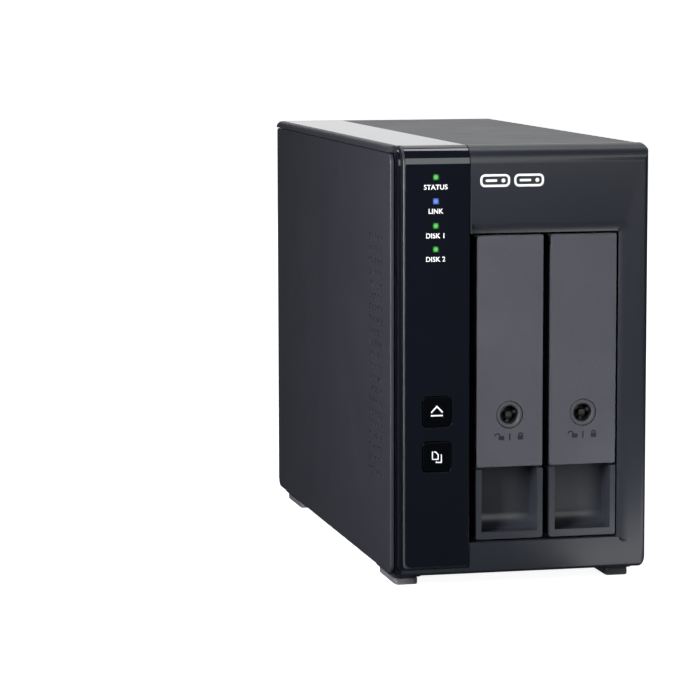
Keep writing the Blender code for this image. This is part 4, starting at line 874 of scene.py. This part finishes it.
def rear_ports():
    """USB-C port, power inlet, power button and mode switch."""
    low, high = reach("usb_c_port")
    (x, z), front, y = PORTS["usb"], low.y, high.y
    shell = rounded((x - 1.8, z - 4.7), (x + 1.8, z + 4.7), 1.75, 10)
    inner = rounded((x - 1.45, z - 4.35), (x + 1.45, z + 4.35), 1.42, 10)
    socket = shaped("usb_c_shell", outline(shell, front, y),
                    [("cut", outline(inner, front + 2.5, y + 2))], edge=0.1)
    finish_piece(socket, "plated", "case", "port_steel", "usb_c_port")
    blade = box_mesh([((x - 0.35, front + 2.4, z - 3.3), (x + 0.35, y - 1.0, z + 3.3))])
    tongue = shaped("usb_c_tongue", blade, edge=0.12)
    finish_piece(tongue, "connector", "case", "connector_black")
    pads = [((x + side * 0.36 - 0.03, front + 3.4, z + (i - 5.5) * 0.5 - 0.13),
             (x + side * 0.36 + 0.03, y - 1.3, z + (i - 5.5) * 0.5 + 0.13)) for i in range(12)
            for side in (-1, 1)]
    finish_piece(new_object("usb_c_contacts", box_mesh(pads)), "gold", "case", "port_steel")
    low, high = reach("dc_power_jack")
    (x, z), y = PORTS["jack"], high.y
    block = outline(rounded((x - 4.5, z - 5.5), (x + 4.5, z + 5.5), 0.5, 4), low.y, y)
    jack = shaped("power_jack_body", block, [("cut", cylinder_mesh([(x, z)], 3.3, y - 9, y + 3, "Y", 56))],
                  edge=0.3)
    finish_piece(jack, "connector", "case", "connector_black", "dc_power_jack")
    pin = turned("power_jack_pin",
                 [(0.02, y - 1.2), (0.7, y - 1.25), (1.05, y - 1.7), (1.1, y - 2.4), (1.1, y - 9.5),
                  (0.02, y - 9.5)], (x, z), 36)
    finish_piece(pin, "plated", "case", "port_steel")
    low, high = reach("power_button")
    x, z = (low.x + high.x) / 2, (low.z + high.z) / 2
    cap = outline(rounded((low.x, low.z), (high.x, high.z), 1.6, 8), REAR_LOW.y - 0.4, high.y)
    stem = cylinder_mesh([(x, z)], 1.5, low.y, REAR_LOW.y, "Y", 28)
    finish_piece(shaped("power_button_cap", cap, [("join", stem)], edge=0.5, segments=4), "bezel",
                 "power_button", "bezel_black", "power_button")
    low, high = reach("mode_switch_housing")
    x, z = PORTS["mode"]
    block = outline(rounded((x - 3.0, low.z), (x + 3.0, high.z), 0.4, 4), low.y, high.y)
    slots = box_mesh([((x - 2.4, REAR_LOW.y - 1.6, z + step - 1.5), (x + 2.4, high.y + 2, z + step + 1.5))
                      for step in (-4.6, 0.0, 4.6)])
    housing = shaped("mode_switch_body", block, [("cut", slots)], edge=0.15)
    finish_piece(housing, "connector", "case", "connector_black", "mode_switch_housing")
    for i in (1, 2, 3):
        node = f"mode_slider_{i}"
        low, high = reach(node)
        grooves = box_mesh([((low.x + 0.5 + k * 0.5, high.y - 0.25, low.z - 1),
                             (low.x + 0.72 + k * 0.5, high.y + 1, high.z + 1)) for k in range(3)])
        knob = shaped(f"mode_knob_{i}", box_mesh([(low, high)]), [("cut", grooves)], edge=0.12)
        finish_piece(knob, "slider", node, "slider_white", node)


# ---------------------------------------------------------------- fan

BLADES = 7


def fan():
    """The fan's housing, motor badge, hub and blades."""
    low, high = reach("fan_frame")
    x, z, bore = FAN.x, FAN.z, 33.4
    steps = [("cut", cylinder_mesh([(x, z)], bore, low.y - 2, high.y + 2, "Y", 120)),
             ("join", cylinder_mesh([(x, z)], 13.0, high.y - 2.6, high.y - 0.4, "Y", 64))]
    for turn in (35, 145, 215, 325):
        strut = box_mesh([((9, high.y - 2.4, -1.2), (bore + 1.0, high.y - 0.6, 1.2))])
        strut.transform(Matrix.Translation(Vector((x, 0, z)) * MM) @ Matrix.Rotation(radians(turn), 4, "Y"))
        steps.append(("join", strut))
    steps.append(("cut", cylinder_mesh(FAN_SPOTS, 1.9, low.y - 2, high.y + 2, "Y", 28)))
    block = outline(rounded((low.x, low.z), (high.x, high.z), 3.5, 8), low.y, high.y)
    housing = shaped("fan_housing", block, steps, edge=0.4, segments=2)
    finish_piece(housing, "fan", "case", "fan_black", "fan_frame")
    badge = turned("fan_motor_badge", [(0.02, high.y - 0.33), (10.5, high.y - 0.33), (10.8, high.y - 0.38),
                                       (10.8, high.y - 0.45), (0.02, high.y - 0.45)], (x, z))
    finish_piece(badge, "label", "case", "fan_black")
    low, high = reach("fan_rotor")
    hub = shaped("fan_hub", cylinder_mesh([(x, z)], 14.0, low.y, high.y, "Y", 96), edge=1.2, segments=4)
    finish_piece(hub, "fan", "fan", "fan_black", "fan_rotor")
    for i in range(BLADES):
        turn = 2 * pi * (i + 0.3) / BLADES
        blade = fan_blade(f"fan_blade_{i + 1}", turn, 13.6, 32.0, low.y + 0.6, high.y - 0.4)
        finish_piece(blade, "fan", "fan", "fan_black")


def fan_blade(name, turn, root, tip, front, back):
    """One curved blade from a root to a tip radius, thin at its edges and rising from front to back."""
    across, along, thick = 12, 8, 1.1
    work = bmesh.new()
    sides = []
    for face in (-1, 1):
        rows = []
        for i in range(along + 1):
            s = i / along
            radius = root + (tip - root) * s
            sweep = 0.62 + 0.12 * s
            row = []
            for k in range(across + 1):
                t = k / across
                angle = turn + sweep * t + 0.10 * sin(pi * t)
                body = thick * (0.35 + 0.65 * max(0.0, sin(pi * t)) ** 0.6) * (1 - 0.35 * s)
                y = front + 0.3 + (back - front - 0.6) * t + face * body / 2
                row.append(work.verts.new(((FAN.x + radius * cos(angle)) * MM, y * MM,
                                           (FAN.z + radius * sin(angle)) * MM)))
            rows.append(row)
        sides.append(rows)
    for rows in sides:
        for i in range(along):
            for k in range(across):
                work.faces.new((rows[i][k], rows[i][k + 1], rows[i + 1][k + 1], rows[i + 1][k]))
    lower, upper = sides
    for i in range(along):
        for k in (0, across):
            work.faces.new((lower[i][k], lower[i + 1][k], upper[i + 1][k], upper[i][k]))
    for k in range(across):
        for i in (0, along):
            work.faces.new((lower[i][k], lower[i][k + 1], upper[i][k + 1], upper[i][k]))
    blade = new_object(name, mesh_from(work, name))
    blade.data.shade_smooth()
    blade.data.set_sharp_from_angle(angle=radians(40))
    return blade


# ---------------------------------------------------------------- inner pieces

INNER = {
    "front_board": "board", "main_board": "board", "backplane_board": "board", "controller_chip": "chip",
    "heat_sink": "sink", "capacitor": "sleeve", "fan_lead": "sleeve", "board_link_connector": "connector",
    "board_link_ribbon": "sleeve", "sata_connector_1": "connector", "sata_connector_2": "connector",
    "cage_left_plate": "steel", "cage_right_plate": "steel", "cage_floor": "steel", "cage_roof": "steel",
    "power_switch": "chip", "eject_button_switch": "chip", "copy_button_switch": "chip",
}


def inner_pieces():
    """The pieces inside keep their CAD shapes, with softened edges."""
    for node, look in INNER.items():
        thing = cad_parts[node]
        for place in thing.material_slots:
            place.material = LOOKS[look]
        edge = thing.modifiers.new("edge", "BEVEL")
        edge.width = 0.15 * MM
        edge.segments = 2
        edge.limit_method = "ANGLE"
        edge.angle_limit = radians(40)


# ---------------------------------------------------------------- floor, lights and camera


def studio_sweep():
    """A round floor that curves up into a wall on every side, so no camera ends up behind it."""
    work = bmesh.new()
    sides, rim = 96, 6.0
    profile = [(y * MM, z * MM) for y, z in arc((4500.0, 1500.0), 1500.0, -90, 0, 24)] + [(rim, 7.0)]
    rings = [[work.verts.new((radius * cos(2 * pi * k / sides), radius * sin(2 * pi * k / sides), z))
              for k in range(sides)] for radius, z in profile]
    work.faces.new(rings[0])
    for low, high in zip(rings, rings[1:]):
        for k in range(sides):
            work.faces.new((low[k], low[(k + 1) % sides], high[(k + 1) % sides], high[k]))
    sweep = new_object("studio_sweep", mesh_from(work, "studio_sweep"))
    sweep.data.shade_smooth()
    look = bpy.data.materials.new("studio_sweep")
    look.use_nodes = True
    sweep.data.materials.append(look)
    tree = look.node_tree
    shader = tree.nodes["Principled BSDF"]
    for socket, value in (("Base Color", (0.86, 0.86, 0.87, 1.0)), ("Roughness", 0.85),
                          ("Specular IOR Level", 0.1), ("Emission Color", (1.0, 1.0, 1.0, 1.0))):
        shader.inputs[socket].default_value = value
    place = tree.nodes.new("ShaderNodeTexCoord")
    away = tree.nodes.new("ShaderNodeVectorMath")
    away.operation = "LENGTH"
    fade = tree.nodes.new("ShaderNodeMapRange")
    for socket, value in (("From Min", 0.4), ("From Max", 1.2), ("To Min", 0.93), ("To Max", 1.0)):
        fade.inputs[socket].default_value = value
    tree.links.new(place.outputs["Object"], away.inputs[0])
    tree.links.new(away.outputs["Value"], fade.inputs["Value"])
    tree.links.new(fade.outputs["Result"], shader.inputs["Emission Strength"])
    sweep.visible_glossy = False
    sweep.visible_diffuse = False


def studio():
    """The backdrop, the lamps and a dim sky: places and sizes in metres, power in watts."""
    studio_sweep()
    front_top = (0.0, -0.11, 0.163)
    light("near_left", (-0.36, -0.36, 0.26), (-0.05, -0.06, 0.09), (0.16, 0.30), 3.7)
    light("front_soft", (0.368, -1.393, 0.64), front_top, (0.90, 0.90), 5.4)
    light("overhead", (0.36, 0.09, 1.42), front_top, (0.50, 0.26), 1.7)
    light("top_back", (0.30, 1.00, 1.25), (0.0, 0.0, 0.12), (1.30, 0.90), 4.4)
    light("back_right", (0.65, 1.85, 0.62), (0.65, 0.0, 0.62), (1.30, 0.80), 2.9)
    light("table_bounce", (0.12, -0.165, 0.001), (0.12, -0.165, 1.0), (0.18, 0.08), 0.13)
    light("left_side", (-0.90, -0.50, 0.25), (0.0, -0.05, 0.09), (0.50, 0.50), 2.4)
    world = bpy.data.worlds.new("studio_world")
    bpy.context.scene.world = world
    world.use_nodes = True
    sky = world.node_tree.nodes["Background"]
    sky.inputs["Color"].default_value = (0.30, 0.34, 0.42, 1.0)
    sky.inputs["Strength"].default_value = 0.13
    bpy.context.scene.view_settings.view_transform = "Standard"


def light(name, spot, target, size, power):
    """A soft area light that the camera itself doesn't see."""
    lamp = bpy.data.lights.new(name, "AREA")
    lamp.shape = "RECTANGLE"
    lamp.size, lamp.size_y = size
    lamp.energy = power
    thing = bpy.data.objects.new(name, lamp)
    thing.location = spot
    thing.rotation_euler = (Vector(target) - Vector(spot)).to_track_quat("-Z", "Y").to_euler()
    thing.visible_camera = False
    bpy.context.scene.collection.objects.link(thing)


def camera():
    """A long lens in front of the left side and a little above it, as in the picture."""
    lens = bpy.data.cameras.new("camera")
    lens.sensor_width = 36.0
    lens.lens = 154.54
    lens.clip_start, lens.clip_end = 0.05, 30.0
    eye = bpy.data.objects.new("camera", lens)
    eye.matrix_world = (Matrix.Translation((-0.3125, -1.1945, 0.2275))
                        @ Matrix.Rotation(radians(-12.77), 4, "Z")
                        @ Matrix.Rotation(radians(83.08), 4, "X") @ Matrix.Rotation(radians(-0.11), 4, "Z"))
    bpy.context.scene.collection.objects.link(eye)
    bpy.context.scene.camera = eye


main_shell()
side_cover()
top_strip()
bezel()
gloss_panel()
front_marks()
front_controls()
for number in (1, 2):
    centre_x = middle(f"tray_lock_{number}").x
    for build in (tray_body, tray_handle, tray_lock, hard_drive):
        build(number, centre_x)
rear_panel()
rear_ports()
for number in range(1, 4):
    screw(f"casing_screw_{number}", 2.9, 1.3, 1.0)
for number in range(1, 5):
    screw(f"fan_screw_{number}", 3.0, 1.6, 1.6)
fan()
inner_pieces()
studio()
camera()
